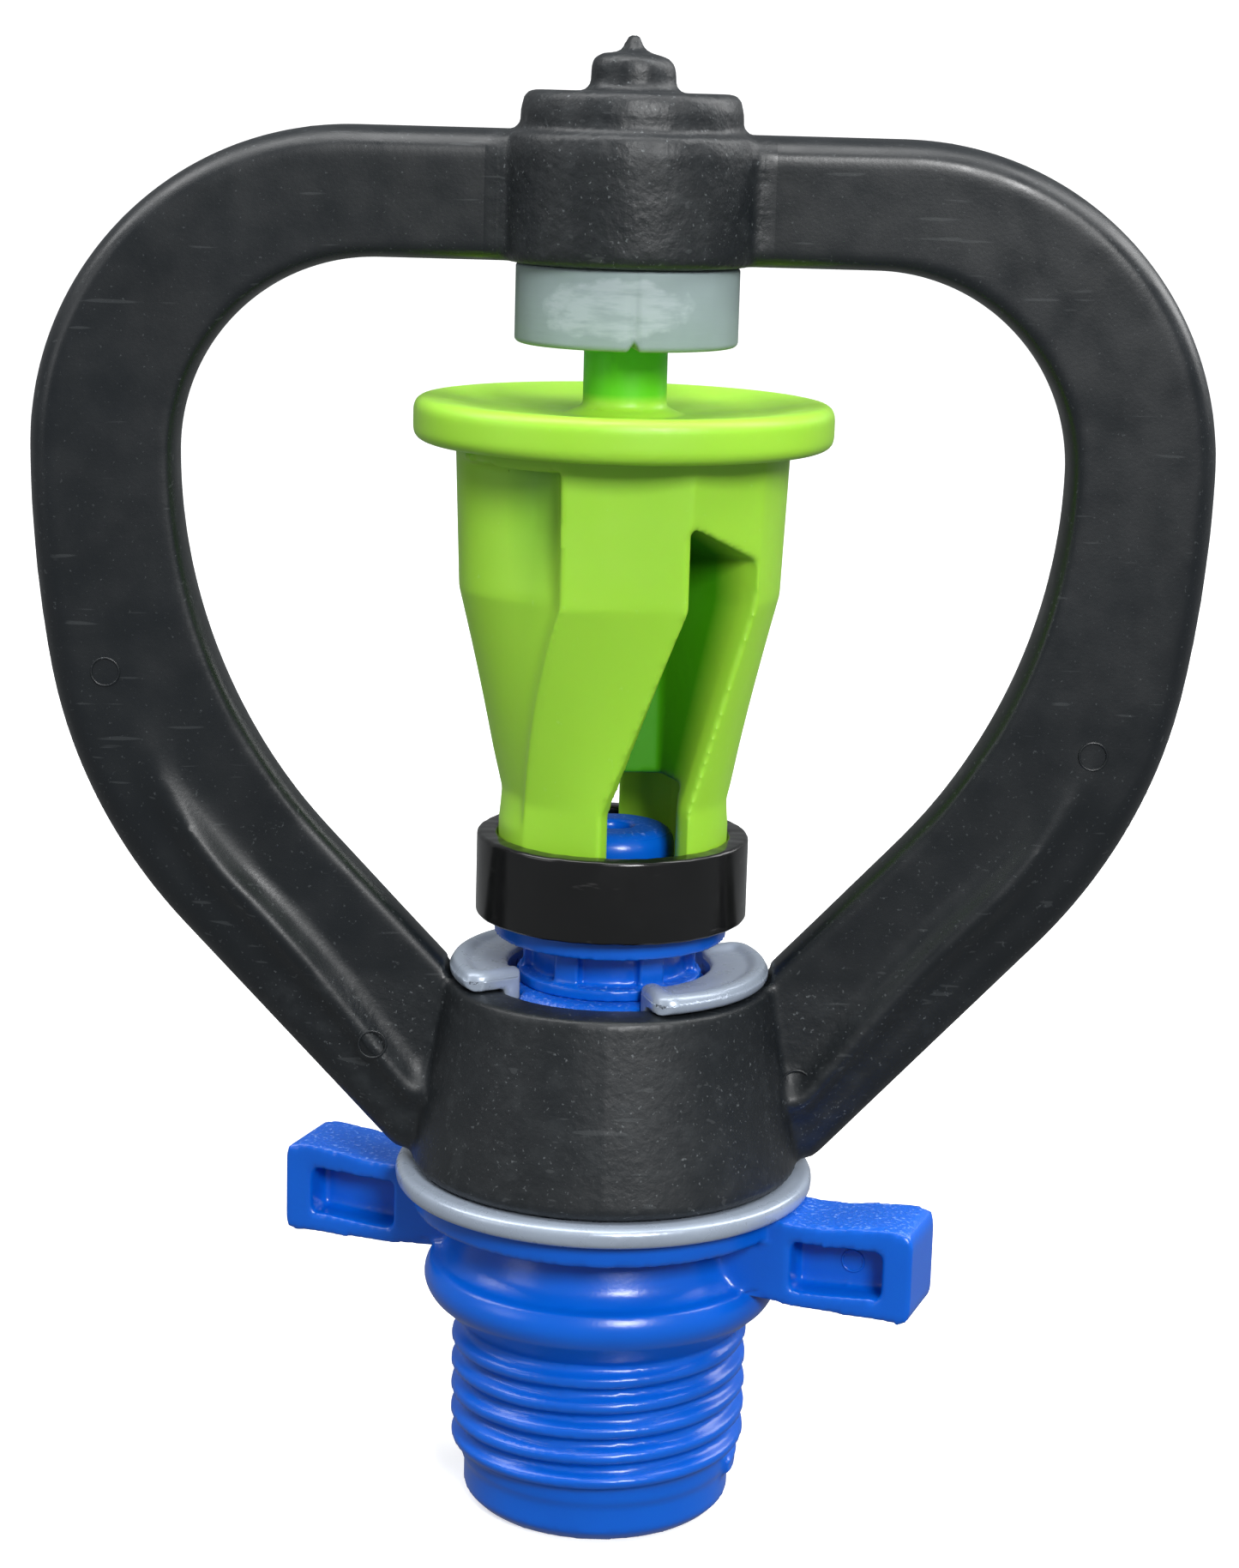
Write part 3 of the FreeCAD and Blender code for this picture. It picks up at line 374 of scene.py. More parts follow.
def silver_grey_plastic():
    """Pearly silver-grey moulding under a soft gloss."""
    paint = Paint("silver_grey_plastic")
    pearl = paint.blend(paint.noise(4, 3), (0.29, 0.34, 0.42), (0.36, 0.42, 0.51))
    flake = paint.ramp(paint.noise(0.12, 2), 0.60, 0.75, 0.0, 0.10)
    paint.colour(paint.blend(flake, pearl, (0.75, 0.80, 0.86)))
    paint.roughness(paint.ramp(paint.noise(1.5, 3), 0.3, 0.7, 0.24, 0.36))
    paint.bump(paint.noise(1.6, 2), 0.02, 0.2)
    paint.set(Metallic=0.25, Coat_Weight=0.25, Coat_Roughness=0.2)
    return paint.material


def matte_grey_plastic():
    """Matte grey bearing plastic with lighter scraped patches and turning marks."""
    paint = Paint("matte_grey_plastic")
    tone = paint.blend(paint.noise(3.5, 3), (0.205, 0.262, 0.272), (0.262, 0.328, 0.342))
    scraped = paint.math("MULTIPLY", paint.patch(SCRAPE, paint.noise(1.6, 4)),
                         paint.ramp(paint.noise(0.7, 3, (0.3, 1, 1.6)), 0.35, 0.6, 0.25, 0.85))
    paint.colour(paint.blend(scraped, tone, (0.35, 0.41, 0.44)))
    paint.roughness(paint.ramp(scraped, 0, 1, 0.62, 0.48))
    lines = paint.noise(0.5, 3, (0.15, 0.15, 1))
    paint.bump(lines, 0.05, 0.4)
    return paint.material


def gloss_black_plastic():
    """Glossy black ring, with fine wear lines round it."""
    paint = Paint("gloss_black_plastic")
    tone = paint.blend(paint.noise(6, 2), (0.0030, 0.0031, 0.0032), (0.0070, 0.0072, 0.0075))
    lines = paint.ramp(paint.noise(0.8, 3, (0.2, 0.2, 1)), 0.66, 0.72, 0.0, 0.10)
    paint.colour(paint.blend(lines, tone, (0.25, 0.24, 0.24)))
    paint.roughness(paint.ramp(paint.noise(2, 3), 0.3, 0.7, 0.14, 0.26))
    paint.bump(paint.noise(1.8, 2), 0.03, 0.2)
    return paint.material


def seal_rubber():
    """Dull black rubber."""
    paint = Paint("seal_rubber")
    paint.colour(paint.blend(paint.noise(1.5, 3), (0.018, 0.018, 0.018), (0.032, 0.032, 0.032)))
    paint.roughness(paint.ramp(paint.noise(0.6, 3), 0.3, 0.7, 0.55, 0.7))
    paint.bump(paint.noise(0.2, 2), 0.02, 0.3)
    return paint.material


MATERIALS = {
    "threaded_base": blue_plastic(),
    "swivel_bush": silver_grey_plastic(),
    "bridge": black_plastic(),
    "bearing_bush": matte_grey_plastic(),
    "spinner": green_plastic(),
    "skirt_ring": gloss_black_plastic(),
    "nozzle_seal": seal_rubber(),
}
MATERIALS["nozzle"] = MATERIALS["threaded_base"]

BODIES = frame["record"]["behaviour"]["bodies"]
BODY_OF = {node: body for body, nodes in BODIES.items() for node in nodes}


def paint_as(piece, node):
    """A CAD node's material, as a piece's only one."""
    piece.data.materials.clear()
    piece.data.materials.append(MATERIALS[node])


def go_with(piece, node):
    """The material and body of a CAD node."""
    paint_as(piece, node)
    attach(piece, BODY_OF[node])


def stand_for(piece, node):
    """Finish a piece that replaces a CAD node."""
    go_with(piece, node)
    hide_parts(node)


# ---- mesh helpers, in millimetres ----

TURN_STEPS = 256
ARC_STEPS = 6
MERGE_DISTANCE = 1e-7
SMOOTHING = 0.5
MOULDING = {
    # node: (voxel size in mm, smoothing passes)
    "bridge": (0.32, 3),
    "threaded_base": (0.28, 2),
    "swivel_bush": (0.173, 3),
    "nozzle": (0.17, 2),
    "spinner": (0.236, 1),
}
PASSES_AFTER_RESHAPE = {"swivel_bush": 4, "spinner": 2}


def rounded(corners):
    """An outline whose corners (across, up, rounding) are made tangent arcs; no rounding is sharp."""
    outline = []
    count = len(corners)
    for index, (across, up, *rounding) in enumerate(corners):
        if not rounding:
            outline.append((across, up))
            continue
        spot = Vector((across, up))
        before = (Vector(corners[index - 1][:2]) - spot).normalized()
        after = (Vector(corners[(index + 1) % count][:2]) - spot).normalized()
        half = before.angle(after) / 2
        reach = rounding[0] / math.tan(half)
        centre = spot + (before + after).normalized() * rounding[0] / math.sin(half)
        first, last = spot + before * reach - centre, spot + after * reach - centre
        sweep = first.angle_signed(last)
        for step in range(ARC_STEPS + 1):
            turned = first.copy()
            turned.rotate(Matrix.Rotation(-sweep * step / ARC_STEPS, 2))
            outline.append(tuple(centre + turned))
    return outline


def lathe(corners, closed, shape=None):
    """Points and faces of an outline turned about Z; shape may move a point by its angle."""
    ring = rounded(corners)
    points, faces = [], []
    for step in range(TURN_STEPS):
        angle = 2 * math.pi * step / TURN_STEPS
        for radius, up in ring:
            if shape:
                radius, up = shape(angle, radius, up)
            points.append((radius * math.sin(angle), -radius * math.cos(angle), up))
    size = len(ring)
    for step in range(TURN_STEPS):
        here, there = step * size, (step + 1) % TURN_STEPS * size
        for index in range(size if closed else size - 1):
            after = (index + 1) % size
            faces.append((here + index, here + after, there + after, there + index))
    return points, faces


def build(name, shells):
    """One object from shells of points and faces, with doubled points merged."""
    points, faces = [], []
    for shell_points, shell_faces in shells:
        start = len(points)
        points += [tuple(c * MM for c in point) for point in shell_points]
        faces += [tuple(start + corner for corner in face) for face in shell_faces]
    mesh = bpy.data.meshes.new(name)
    mesh.from_pydata(points, [], faces)
    work = bmesh.new()
    work.from_mesh(mesh)
    bmesh.ops.remove_doubles(work, verts=work.verts, dist=MERGE_DISTANCE)
    bmesh.ops.recalc_face_normals(work, faces=work.faces)
    work.to_mesh(mesh)
    work.free()
    mesh.shade_smooth()
    piece = bpy.data.objects.new(name, mesh)
    bpy.context.scene.collection.objects.link(piece)
    return piece


def relax(piece, passes):
    """Apply a piece's modifiers and a few passes of smoothing."""
    smooth = piece.modifiers.new("smooth", "SMOOTH")
    smooth.factor = SMOOTHING
    smooth.iterations = passes
    graph = bpy.context.evaluated_depsgraph_get()
    finished = bpy.data.meshes.new_from_object(piece.evaluated_get(graph))
    piece.modifiers.clear()
    piece.data = finished
    piece.data.shade_smooth()
    return piece


def moulded(piece, node):
    """Remesh a closed piece finely and relax it, which rounds its edges as moulding does."""
    grid, passes = MOULDING[node]
    skin = piece.modifiers.new("skin", "REMESH")
    skin.mode = "VOXEL"
    skin.voxel_size = grid * MM
    skin.use_smooth_shade = True
    return relax(piece, passes)


def from_cad(node, shells=()):
    """The CAD solid as a moulded piece with softened edges, with any extra shells grown on."""
    piece = bpy.data.objects.new(node + "_moulded", frame["nodes"][node].data.copy())
    bpy.context.scene.collection.objects.link(piece)
    if shells:
        add_shells(piece, shells)
    return moulded(piece, node)


def reshape(piece, move):
    """Move every point of a piece, in millimetres."""
    for vertex in piece.data.vertices:
        x, y, z = (c / MM for c in vertex.co)
        vertex.co = Vector(move(x, y, z)) * MM
    piece.data.update()


def smoothstep(low, high, number):
    """0 below low, 1 above high, and an even curve between."""
    share = min(max((number - low) / (high - low), 0), 1)
    return share * share * (3 - 2 * share)


def box_mm(node):
    """Lowest and highest corner of a CAD node, in millimetres."""
    return [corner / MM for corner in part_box(node)]


# ---- bridge: arms ----

BRIDGE_LOW, BRIDGE_HIGH = box_mm("bridge")
HUB_SEAT = BRIDGE_LOW.z
HALF_WIDTH = BRIDGE_HIGH.x
ARM_RISE = 69.8
ARM_TOP = HUB_SEAT + ARM_RISE
ARM_HEIGHT = 8.5
ARM_WIDTH = 9.9
ARM_SLOPE = 43.1
SHOULDER = 21.4
FLANK, FLANK_TURN = 85.0, 9.6
KNEE = 35.0
WINDOW_SHOULDER = 13.0
WINDOW_FLANK = 37.0
HEEL = 1.8
HEEL_LIFT = 0.4
ARM_START = 7.0
ARM_END = 9.6

TOP_STATIONS = 16
SHOULDER_STATIONS = 44
FLANK_STATIONS = 56
FOOT_STATIONS = 48

WEB_HALF = 1.9
UPPER_HALF = 2.35
UPPER_ROUND = 1.7
WINDOW_ROUND = 0.8
LIP_AT = 2.5
LIP_HALF = 1.95
BEAD_AT = 4.9
BEAD_HALF = 3.2
BEAD_SPREAD = 1.05
BEAD_FADES = (44.0, 57.0)
SIDE_STEPS = 40


class Track:
    """A path in the XZ plane, kept as points a short way apart."""

    def __init__(self, across, up):
        self.place = Vector((across, up))
        self.heading = 0.0
        self.points = [self.place.copy()]

    def run(self, length, steps):
        """Straight ahead."""
        along = Vector((math.cos(self.heading), -math.sin(self.heading)))
        start = self.place.copy()
        for step in range(1, steps + 1):
            self.place = start + along * length * step / steps
            self.points.append(self.place.copy())

    def turn(self, radius, degrees, steps):
        """A tangent arc to the right."""
        inward = Vector((-math.sin(self.heading), -math.cos(self.heading)))
        centre = self.place + inward * radius
        start = self.heading
        for step in range(1, steps + 1):
            self.heading = start + math.radians(degrees) * step / steps
            outward = Vector((math.sin(self.heading), math.cos(self.heading)))
            self.place = centre + outward * radius
            self.points.append(self.place.copy())

    def even(self, first, steps):
        """Space the points after the first evenly, into this many steps."""
        path = self.points[first:]
        lengths = [0.0]
        for before, after in zip(path, path[1:]):
            lengths.append(lengths[-1] + (after - before).length)
        spaced = []
        index = 0
        for step in range(1, steps + 1):
            wanted = lengths[-1] * step / steps
            while index < len(lengths) - 2 and lengths[index + 1] < wanted:
                index += 1
            share = (wanted - lengths[index]) / (lengths[index + 1] - lengths[index])
            spaced.append(path[index].lerp(path[index + 1], share))
        self.points = self.points[:first + 1] + spaced


def arm_edges():
    """Matching points along the arm's outer edge and its window edge."""
    outer = Track(ARM_START, ARM_TOP)
    outer.run(HALF_WIDTH - SHOULDER - ARM_START, TOP_STATIONS)
    outer.turn(SHOULDER, 90, SHOULDER_STATIONS)
    bend_start = len(outer.points) - 1
    outer.turn(FLANK, FLANK_TURN, FLANK_STATIONS)
    outer.turn(KNEE, ARM_SLOPE - FLANK_TURN, FLANK_STATIONS)
    outer.even(bend_start, FLANK_STATIONS)
    foot_start = len(outer.points) - 1
    heel_turn = 90 - ARM_SLOPE
    heel_top = HUB_SEAT + HEEL_LIFT + HEEL * (1 - math.cos(math.radians(heel_turn)))
    outer.run((outer.place.y - heel_top) / math.sin(outer.heading), FOOT_STATIONS)
    outer.turn(HEEL, heel_turn, FOOT_STATIONS)
    outer.run(outer.place.x - ARM_END, FOOT_STATIONS)
    outer.even(foot_start, FOOT_STATIONS)

    inner = Track(ARM_START, ARM_TOP - ARM_HEIGHT)
    inner.run(HALF_WIDTH - ARM_WIDTH - WINDOW_SHOULDER - ARM_START, TOP_STATIONS)
    inner.turn(WINDOW_SHOULDER, 90, SHOULDER_STATIONS)
    inner.turn(WINDOW_FLANK, ARM_SLOPE, FLANK_STATIONS)
    inner.run((inner.place.x - ARM_END) / math.sin(math.radians(ARM_SLOPE)), FOOT_STATIONS)
    return outer.points, inner.points


def arm_half_thickness(inset, width, bead):
    """How far the face stands off the middle, at an inset from the outer edge."""
    lip_at = UPPER_ROUND + (LIP_AT - UPPER_ROUND) * bead
    lip_half = UPPER_HALF + (LIP_HALF - UPPER_HALF) * bead
    web_half = UPPER_HALF + (WEB_HALF - UPPER_HALF) * bead
    if inset < lip_at:
        return lip_half * math.sqrt(max(1 - (1 - inset / lip_at) ** 2, 0))
    half = lip_half + (web_half - lip_half) * smoothstep(BEAD_AT, BEAD_AT + 2 * BEAD_SPREAD, inset)
    crest = math.exp(-(((inset - BEAD_AT) / BEAD_SPREAD) ** 2))
    half += bead * (BEAD_HALF - lip_half) * crest
    from_window = width - inset
    if from_window < WINDOW_ROUND:
        half *= math.sqrt(max(1 - (1 - from_window / WINDOW_ROUND) ** 2, 0))
    return half


def arm_shell(side):
    """One arm as a swept closed section; side is 1 for the right and -1 for the left."""
    points, faces = [], []
    stations = list(zip(*arm_edges()))
    for outer, inner in stations:
        width = (inner - outer).length
        middle = (outer.y + inner.y) / 2
        bead = 1 - smoothstep(*BEAD_FADES, middle)
        insets = []
        for step in range(SIDE_STEPS + 1):
            share = step / SIDE_STEPS
            insets.append(width * (share - math.sin(2 * math.pi * share) / (2 * math.pi) * 0.75))
        halves = [arm_half_thickness(inset, width, bead) for inset in insets]
        for front in (-1, 1):
            order = range(SIDE_STEPS + 1) if front < 0 else range(SIDE_STEPS - 1, 0, -1)
            for index in order:
                spot = outer.lerp(inner, insets[index] / width)
                points.append((side * spot.x, front * halves[index], spot.y))
    size = 2 * SIDE_STEPS
    for station in range(len(stations) - 1):
        here, there = station * size, (station + 1) * size
        for index in range(size):
            after = (index + 1) % size
            faces.append((here + index, here + after, there + after, there + index))
    faces.append(tuple(range(size)))
    faces.append(tuple(range(len(points) - size, len(points))))
    return points, faces


# ---- bridge: hub, boss and marks ----

HUB_HEIGHT = 13.1
HUB_BOTTOM, HUB_TOP = 13.45, 11.1
HUB_BORE = 8.27
BOSS_LOW = ARM_TOP - ARM_HEIGHT
BOSS_TOP = BOSS_LOW + 8.3
BOSS, CAP, BUTTON, GATE = 8.26, 7.24, 2.75, 0.95
CAP_TOP = BOSS_TOP + 2.7
BUTTON_TOP = CAP_TOP + 2.5
BUTTON_SLUMP, SLUMP_TURN = 0.176, 0.6
PARTING_HEIGHT, PARTING_HALF = 0.07, 0.16
SOCKET, SOCKET_TOP = 4.64, BOSS_LOW + 4.3
TAB_ROOM, TAB_ROOM_TOP = 11.2, 1.6


def wavy(angle, *waves):
    """A sum of (size, count, phase) waves round a circle."""
    return sum(size * math.sin(count * angle + phase) for size, count, phase in waves)


def hub_shape(angle, radius, up):
    """A faint parting line down the hub's front and back."""
    line = math.exp(-((math.sin(angle) * radius / PARTING_HALF) ** 2))
    if radius > HUB_TOP - 0.7:
        radius += PARTING_HEIGHT * line
    return radius, up


def boss_shape(angle, radius, up):
    """A slumped button and a torn gate on top of an otherwise round boss."""
    if up > BUTTON_TOP - 1.2 and radius > GATE + 0.1:
        up -= BUTTON_SLUMP * (radius / BUTTON) ** 2 * (1 + math.sin(angle - SLUMP_TURN))
    if up > BUTTON_TOP + 0.05:
        radius *= 0.80 + wavy(angle, (0.16, 2, 0.5), (0.10, 3, 1.7))
    if CAP_TOP < up <= BUTTON_TOP + 0.05:
        radius += wavy(angle, (0.05, 2, 0.3), (0.03, 5, 1.1)) * (radius / BUTTON)
    return radius, up


def hub_shell():
    """The coned hub with its running bore, and a shallow bead round its top edge."""
    low, top = HUB_SEAT, HUB_SEAT + HUB_HEIGHT
    corners = [
        (HUB_BORE, low, 0.2), (HUB_BOTTOM, low, 0.55),
        (HUB_TOP + 0.12, top - 0.75, 0.4), (HUB_TOP + 0.12, top - 0.1, 0.28),
        (HUB_TOP - 0.55, top - 0.1, 0.2), (HUB_TOP - 0.9, top, 0.15), (HUB_BORE, top, 0.25),
    ]
    return lathe(corners, True, hub_shape)


def boss_shell():
    """The boss with its beaded top edge, the stepped cap and the domed button."""
    corners = [
        (0, SOCKET_TOP), (SOCKET, SOCKET_TOP, 0.1), (SOCKET, BOSS_LOW, 0.15), (BOSS - 0.12, BOSS_LOW, 0.45),
        (BOSS, BOSS_LOW + 0.9, 0.5), (BOSS, BOSS_TOP - 1.0, 0.3), (BOSS - 0.14, BOSS_TOP - 0.75, 0.15),
        (BOSS - 0.14, BOSS_TOP, 0.35), (CAP, BOSS_TOP + 0.02, 0.25), (CAP, CAP_TOP - 1.15, 0.15),
        (CAP - 0.14, CAP_TOP - 0.95, 0.15), (CAP - 0.16, CAP_TOP, 0.75), (BUTTON + 0.05, CAP_TOP, 0.3),
        (BUTTON, BUTTON_TOP - 0.15, 0.85), (GATE, BUTTON_TOP, 0.1), (GATE * 0.55, BRIDGE_HIGH.z - 0.05, 0.12),
        (0, BRIDGE_HIGH.z - 0.05),
    ]
    return lathe(corners, False, boss_shape)


EJECTOR_RADIUS = 0.93
EJECTOR_WIRE = 0.085
EJECTOR_STEPS = 40
WIRE_STEPS = 8
EJECTOR_MARKS = [(-34.0, 58.2), (-15.9, 33.2), (31.9, 54.3), (13.0, 31.0)]


def ring_mark(across, up, face, radius=EJECTOR_RADIUS):
    """The fine witness ring of an ejector pin, half sunk in a face that looks forwards."""
    points, faces = [], []
    for step in range(EJECTOR_STEPS):
        turn = 2 * math.pi * step / EJECTOR_STEPS
        for wire in range(WIRE_STEPS):
            roll = 2 * math.pi * wire / WIRE_STEPS
            reach = radius + EJECTOR_WIRE * math.cos(roll)
            points.append((across + reach * math.cos(turn), -face - EJECTOR_WIRE * math.sin(roll),
                           up + reach * math.sin(turn)))
            after = (step + 1) % EJECTOR_STEPS * WIRE_STEPS
            next_wire = (wire + 1) % WIRE_STEPS
            faces.append((step * WIRE_STEPS + wire, step * WIRE_STEPS + next_wire,
                          after + next_wire, after + wire))
    return points, faces


def carve_tab_room(x, y, z):
    """Keep the arms' roots clear of the snap tabs, as the CAD does."""
    radius = math.hypot(x, y)
    top = HUB_SEAT + HUB_HEIGHT
    if top < z < top + TAB_ROOM_TOP and radius < TAB_ROOM:
        if z - top < TAB_ROOM - radius:
            return x, y, top
        return x * TAB_ROOM / radius, y * TAB_ROOM / radius, z
    return x, y, z


def make_bridge():
    """Arms, hub and boss grown into one moulding, with ejector marks on the arms."""
    piece = build("bridge_moulding", [arm_shell(1), arm_shell(-1), hub_shell(), boss_shell()])
    moulded(piece, "bridge")
    reshape(piece, carve_tab_room)
    stand_for(piece, "bridge")
    stations = list(zip(*arm_edges()))
    shells = []
    for across, up in EJECTOR_MARKS:
        spot = Vector((abs(across), up))
        outer, inner = min(stations, key=lambda pair: abs((spot - pair[0]).length + (spot - pair[1]).length
                                                          - (pair[0] - pair[1]).length))
        bead = 1 - smoothstep(*BEAD_FADES, (outer.y + inner.y) / 2)
        half = arm_half_thickness((spot - outer).length, (inner - outer).length, bead)
        shells.append(ring_mark(across, up, half))
    go_with(build("ejector_marks", shells), "bridge")


# ---- bearing bush ----

def make_bearing_bush():
    """A turned bush with soft edges and a small nick in its lower rim."""
    low, high = box_mm("bearing_bush")
    radius, bore, spigot, shoulder = high.x, 2.84, 4.6, BOSS_LOW - 0.03
    nick_angle, nick_half, nick_height = 0.07, 0.055, 0.55

    def shape(angle, reach, up):
        closeness = max(1 - abs(angle - nick_angle) / nick_half, 0)
        if reach > radius - 0.5 and up < low.z + 1.2:
            up += nick_height * closeness
            reach -= 0.25 * closeness
        if spigot < reach:
            reach += wavy(angle, (0.012, 7, 0.4), (0.010, 13, 2.0))
        return min(reach, radius), up

    corners = [
        (0, high.z), (spigot, high.z, 0.2), (spigot, shoulder, 0.1), (radius, shoulder, 0.28),
        (radius, low.z, 0.4), (bore, low.z, 0.2), (bore, high.z - 1.4, 0.1), (0, high.z - 1.4),
    ]
    stand_for(build("bearing_bush_turned", [lathe(corners, False, shape)]), "bearing_bush")


# ---- skirt ring ----

def make_skirt_ring():
    """A thin glossy ring with a faintly uneven, nicked rim."""
    low, high = box_mm("skirt_ring")
    radius, bore, lip, lip_height = high.x, 7.79, 6.5, 0.8

    def shape(angle, reach, up):
        if up > high.z - 0.3:
            up -= 0.03 + wavy(angle, (0.012, 9, 0.2), (0.010, 23, 1.0), (0.008, 41, 2.2))
        elif up < low.z + 0.2:
            up += 0.03 + wavy(angle, (0.012, 7, 1.2), (0.010, 29, 0.4))
        return reach, up

    corners = [
        (lip, low.z, 0.1), (radius, low.z, 0.3), (radius, high.z, 0.28), (bore, high.z, 0.3),
        (bore, low.z + lip_height, 0.1), (lip, low.z + lip_height, 0.15),
    ]
    stand_for(build("skirt_ring_moulded", [lathe(corners, True, shape)]), "skirt_ring")


# ---- pieces that keep the CAD's shape, with softened edges ----

def polar(x, y):
    """Radius, and the angle in degrees from the front towards the right."""
    return math.hypot(x, y), math.degrees(math.atan2(x, -y))


def from_polar(radius, angle):
    """x and y of a radius and of an angle as polar gives it."""
    turn = math.radians(angle)
    return radius * math.sin(turn), -radius * math.cos(turn)


def off_angle(angle, middle):
    """How far an angle is from another, from -180 to 180 degrees."""
    return (angle - middle + 180) % 360 - 180


BODY_TURN = -20.0
WING_START, WING_CAD, WING_END = 14.6, 24.0, 23.0
THREAD_ZONE = (2.6, 13.0)
THREAD_INSIDE, THREAD_MIDDLE, THREAD_SHARE = 9.2, 9.95, 0.72
THREAD_RUNOUT = (2.9, 5.0)
RUNOUT_SHARE, RUNOUT_DROP, RUNOUT_BLEND = 0.35, 0.25, 3.2
COLLAR_RADIUS, COLLAR_MIDDLE, COLLAR_HALF, COLLAR_SAG = 12.3, 16.3, 1.3, 0.55
WING_LIFT = 1.2
WING_LIFT_SHARE = ((17.0, 0.3), (22.0, 1.0))
LEDGE_LOW, LEDGE_INNER, LEDGE_SINK = 36.0, 7.1, 0.7
COLLAR_FILLET = [(9.0, 16.5), (11.7, 17.5, 0.5), (10.5, 18.2, 1.3), (9.75, 20.4), (9.0, 20.4)]


def soften_base(x, y, z):
    """Shorter wings with lifted ends, worn threads that run out gently, and a rounder collar."""
    radius, angle = polar(x, y)
    if THREAD_ZONE[0] < z < THREAD_ZONE[1] and radius > THREAD_INSIDE:
        turn = math.radians(angle)
        wear = wavy(turn, (0.020, 3, 0.7), (0.015, 7, 2.0 + z)) - 0.02
        full = smoothstep(*THREAD_RUNOUT, z)
        share = THREAD_SHARE * (RUNOUT_SHARE + (1 - RUNOUT_SHARE) * full)
        worn = THREAD_MIDDLE - RUNOUT_DROP * (1 - full) + (radius - THREAD_MIDDLE) * share + wear
        blend = smoothstep(THREAD_ZONE[0], RUNOUT_BLEND, z)
        return (*from_polar(radius + (worn - radius) * blend, angle), z)
    if abs(z - COLLAR_MIDDLE) < COLLAR_HALF and 11 < radius < 13:
        most = COLLAR_RADIUS - COLLAR_SAG * ((z - COLLAR_MIDDLE) / COLLAR_HALF) ** 2
        return (*from_polar(min(radius, most), angle), z)
    if z > LEDGE_LOW and radius > LEDGE_INNER:
        return x, y, z - LEDGE_SINK * smoothstep(LEDGE_INNER, LEDGE_INNER + 0.5, radius)
    turn = math.radians(BODY_TURN)
    along = x * math.cos(turn) + y * math.sin(turn)
    if abs(along) > WING_START:
        pulled = WING_START + (abs(along) - WING_START) * (WING_END - WING_START) / (WING_CAD - WING_START)
        shift = math.copysign(pulled, along) - along
        lift = WING_LIFT * smoothstep(WING_START, WING_END, abs(along)) * between(WING_LIFT_SHARE, z)
        return x + shift * math.cos(turn), y + shift * math.sin(turn), z + lift
    return x, y, z


TAB_TOP, TAB_LOW = 39.0, 37.2
TAB_INNER, TAB_OUTER = 6.8, 10.98
TAB_MIDDLES = (70.25, -109.75)
TAB_HALF_SPAN = 52.75
TAB_CORNER = 1.7
TAB_SINK, TAB_SKIN = 0.32, 0.45
TAB_RIM, TAB_RIM_ROUND = 1.35, 0.55


def shape_tabs(x, y, z):
    """Rounded corners, and a top sunk inside each snap tab's outer and end rims."""
    radius, angle = polar(x, y)
    if z < TAB_LOW or radius < TAB_INNER:
        return x, y, z
    middle = min(TAB_MIDDLES, key=lambda one: abs(off_angle(angle, one)))
    side = off_angle(angle, middle)
    from_end = math.radians(TAB_HALF_SPAN - abs(side)) * radius
    from_outer = TAB_OUTER - radius
    if from_end < TAB_CORNER and from_outer < TAB_CORNER:
        corner = Vector((TAB_CORNER - from_end, TAB_CORNER - from_outer))
        if corner.length > TAB_CORNER:
            corner *= TAB_CORNER / corner.length
            from_end, from_outer = TAB_CORNER - corner.x, TAB_CORNER - corner.y
            radius = TAB_OUTER - from_outer
            side = math.copysign(TAB_HALF_SPAN - math.degrees(from_end / radius), side)
            x, y = from_polar(radius, middle + side)
        inset = TAB_CORNER - corner.length
    else:
        inset = min(from_end, from_outer)
    if z > TAB_TOP - TAB_SKIN:
        z -= TAB_SINK * smoothstep(TAB_RIM * 0.7, TAB_RIM * 1.2, inset)
        half = TAB_RIM / 2
        if inset < half:
            z -= TAB_RIM_ROUND * (1 - math.sqrt(max(1 - (1 - max(inset, 0) / half) ** 2, 0)))
    return x, y, z


HOLLOW_ROOF = 73.1
HOLLOW_DEPTH = ((48.6, 0.0), (50.8, 0.60), (58.0, 1.0), (65.0, 1.4), (69.0, 2.0), (73.1, 2.4))
HOLLOW_SHARP = 3.5
HOLLOW_FADE = (16.0, 58.0)
DISC_DISH, DISC_SINK, DISC_SKIN = 0.4, 0.02, 0.6
DISC_EDGE, DISH_FLAT = 13.4, 9.0
PIN_FOOT = (3.1, 4.0)


def between(table, number):
    """A value read from a short table of (number, value), straight between its rows."""
    if number <= table[0][0]:
        return table[0][1]
    for (low, first), (high, second) in zip(table, table[1:]):
        if number <= high:
            return first + (second - first) * (number - low) / (high - low)
    return table[-1][1]


def shape_spinner(disc_top):
    """The hollow left of each twisted crease, and the dished disc."""

    def move(x, y, z):
        radius, angle = polar(x, y)
        if z > disc_top - DISC_SKIN and PIN_FOOT[0] < radius < DISC_EDGE:
            dish = smoothstep(DISC_EDGE, DISH_FLAT, radius) * smoothstep(*PIN_FOOT, radius)
            return x, y, z - DISC_DISH * dish - DISC_SINK
        if not HOLLOW_DEPTH[0][0] < z < HOLLOW_ROOF:
            return x, y, z
        surface = between(BODY_PROFILE, z)
        crease = between((CREASE_LOW, CREASE_HIGH), z)
        for half_turn in (0, 180):
            left = -off_angle(angle, crease + half_turn)
            if 0 < left < HOLLOW_FADE[1]:
                depth = between(HOLLOW_DEPTH, z) * (1 - math.exp(-left / HOLLOW_SHARP))
                depth *= 1 - smoothstep(*HOLLOW_FADE, left)
                return (*from_polar(min(radius, surface - depth), angle), z)
        return x, y, z

    return move


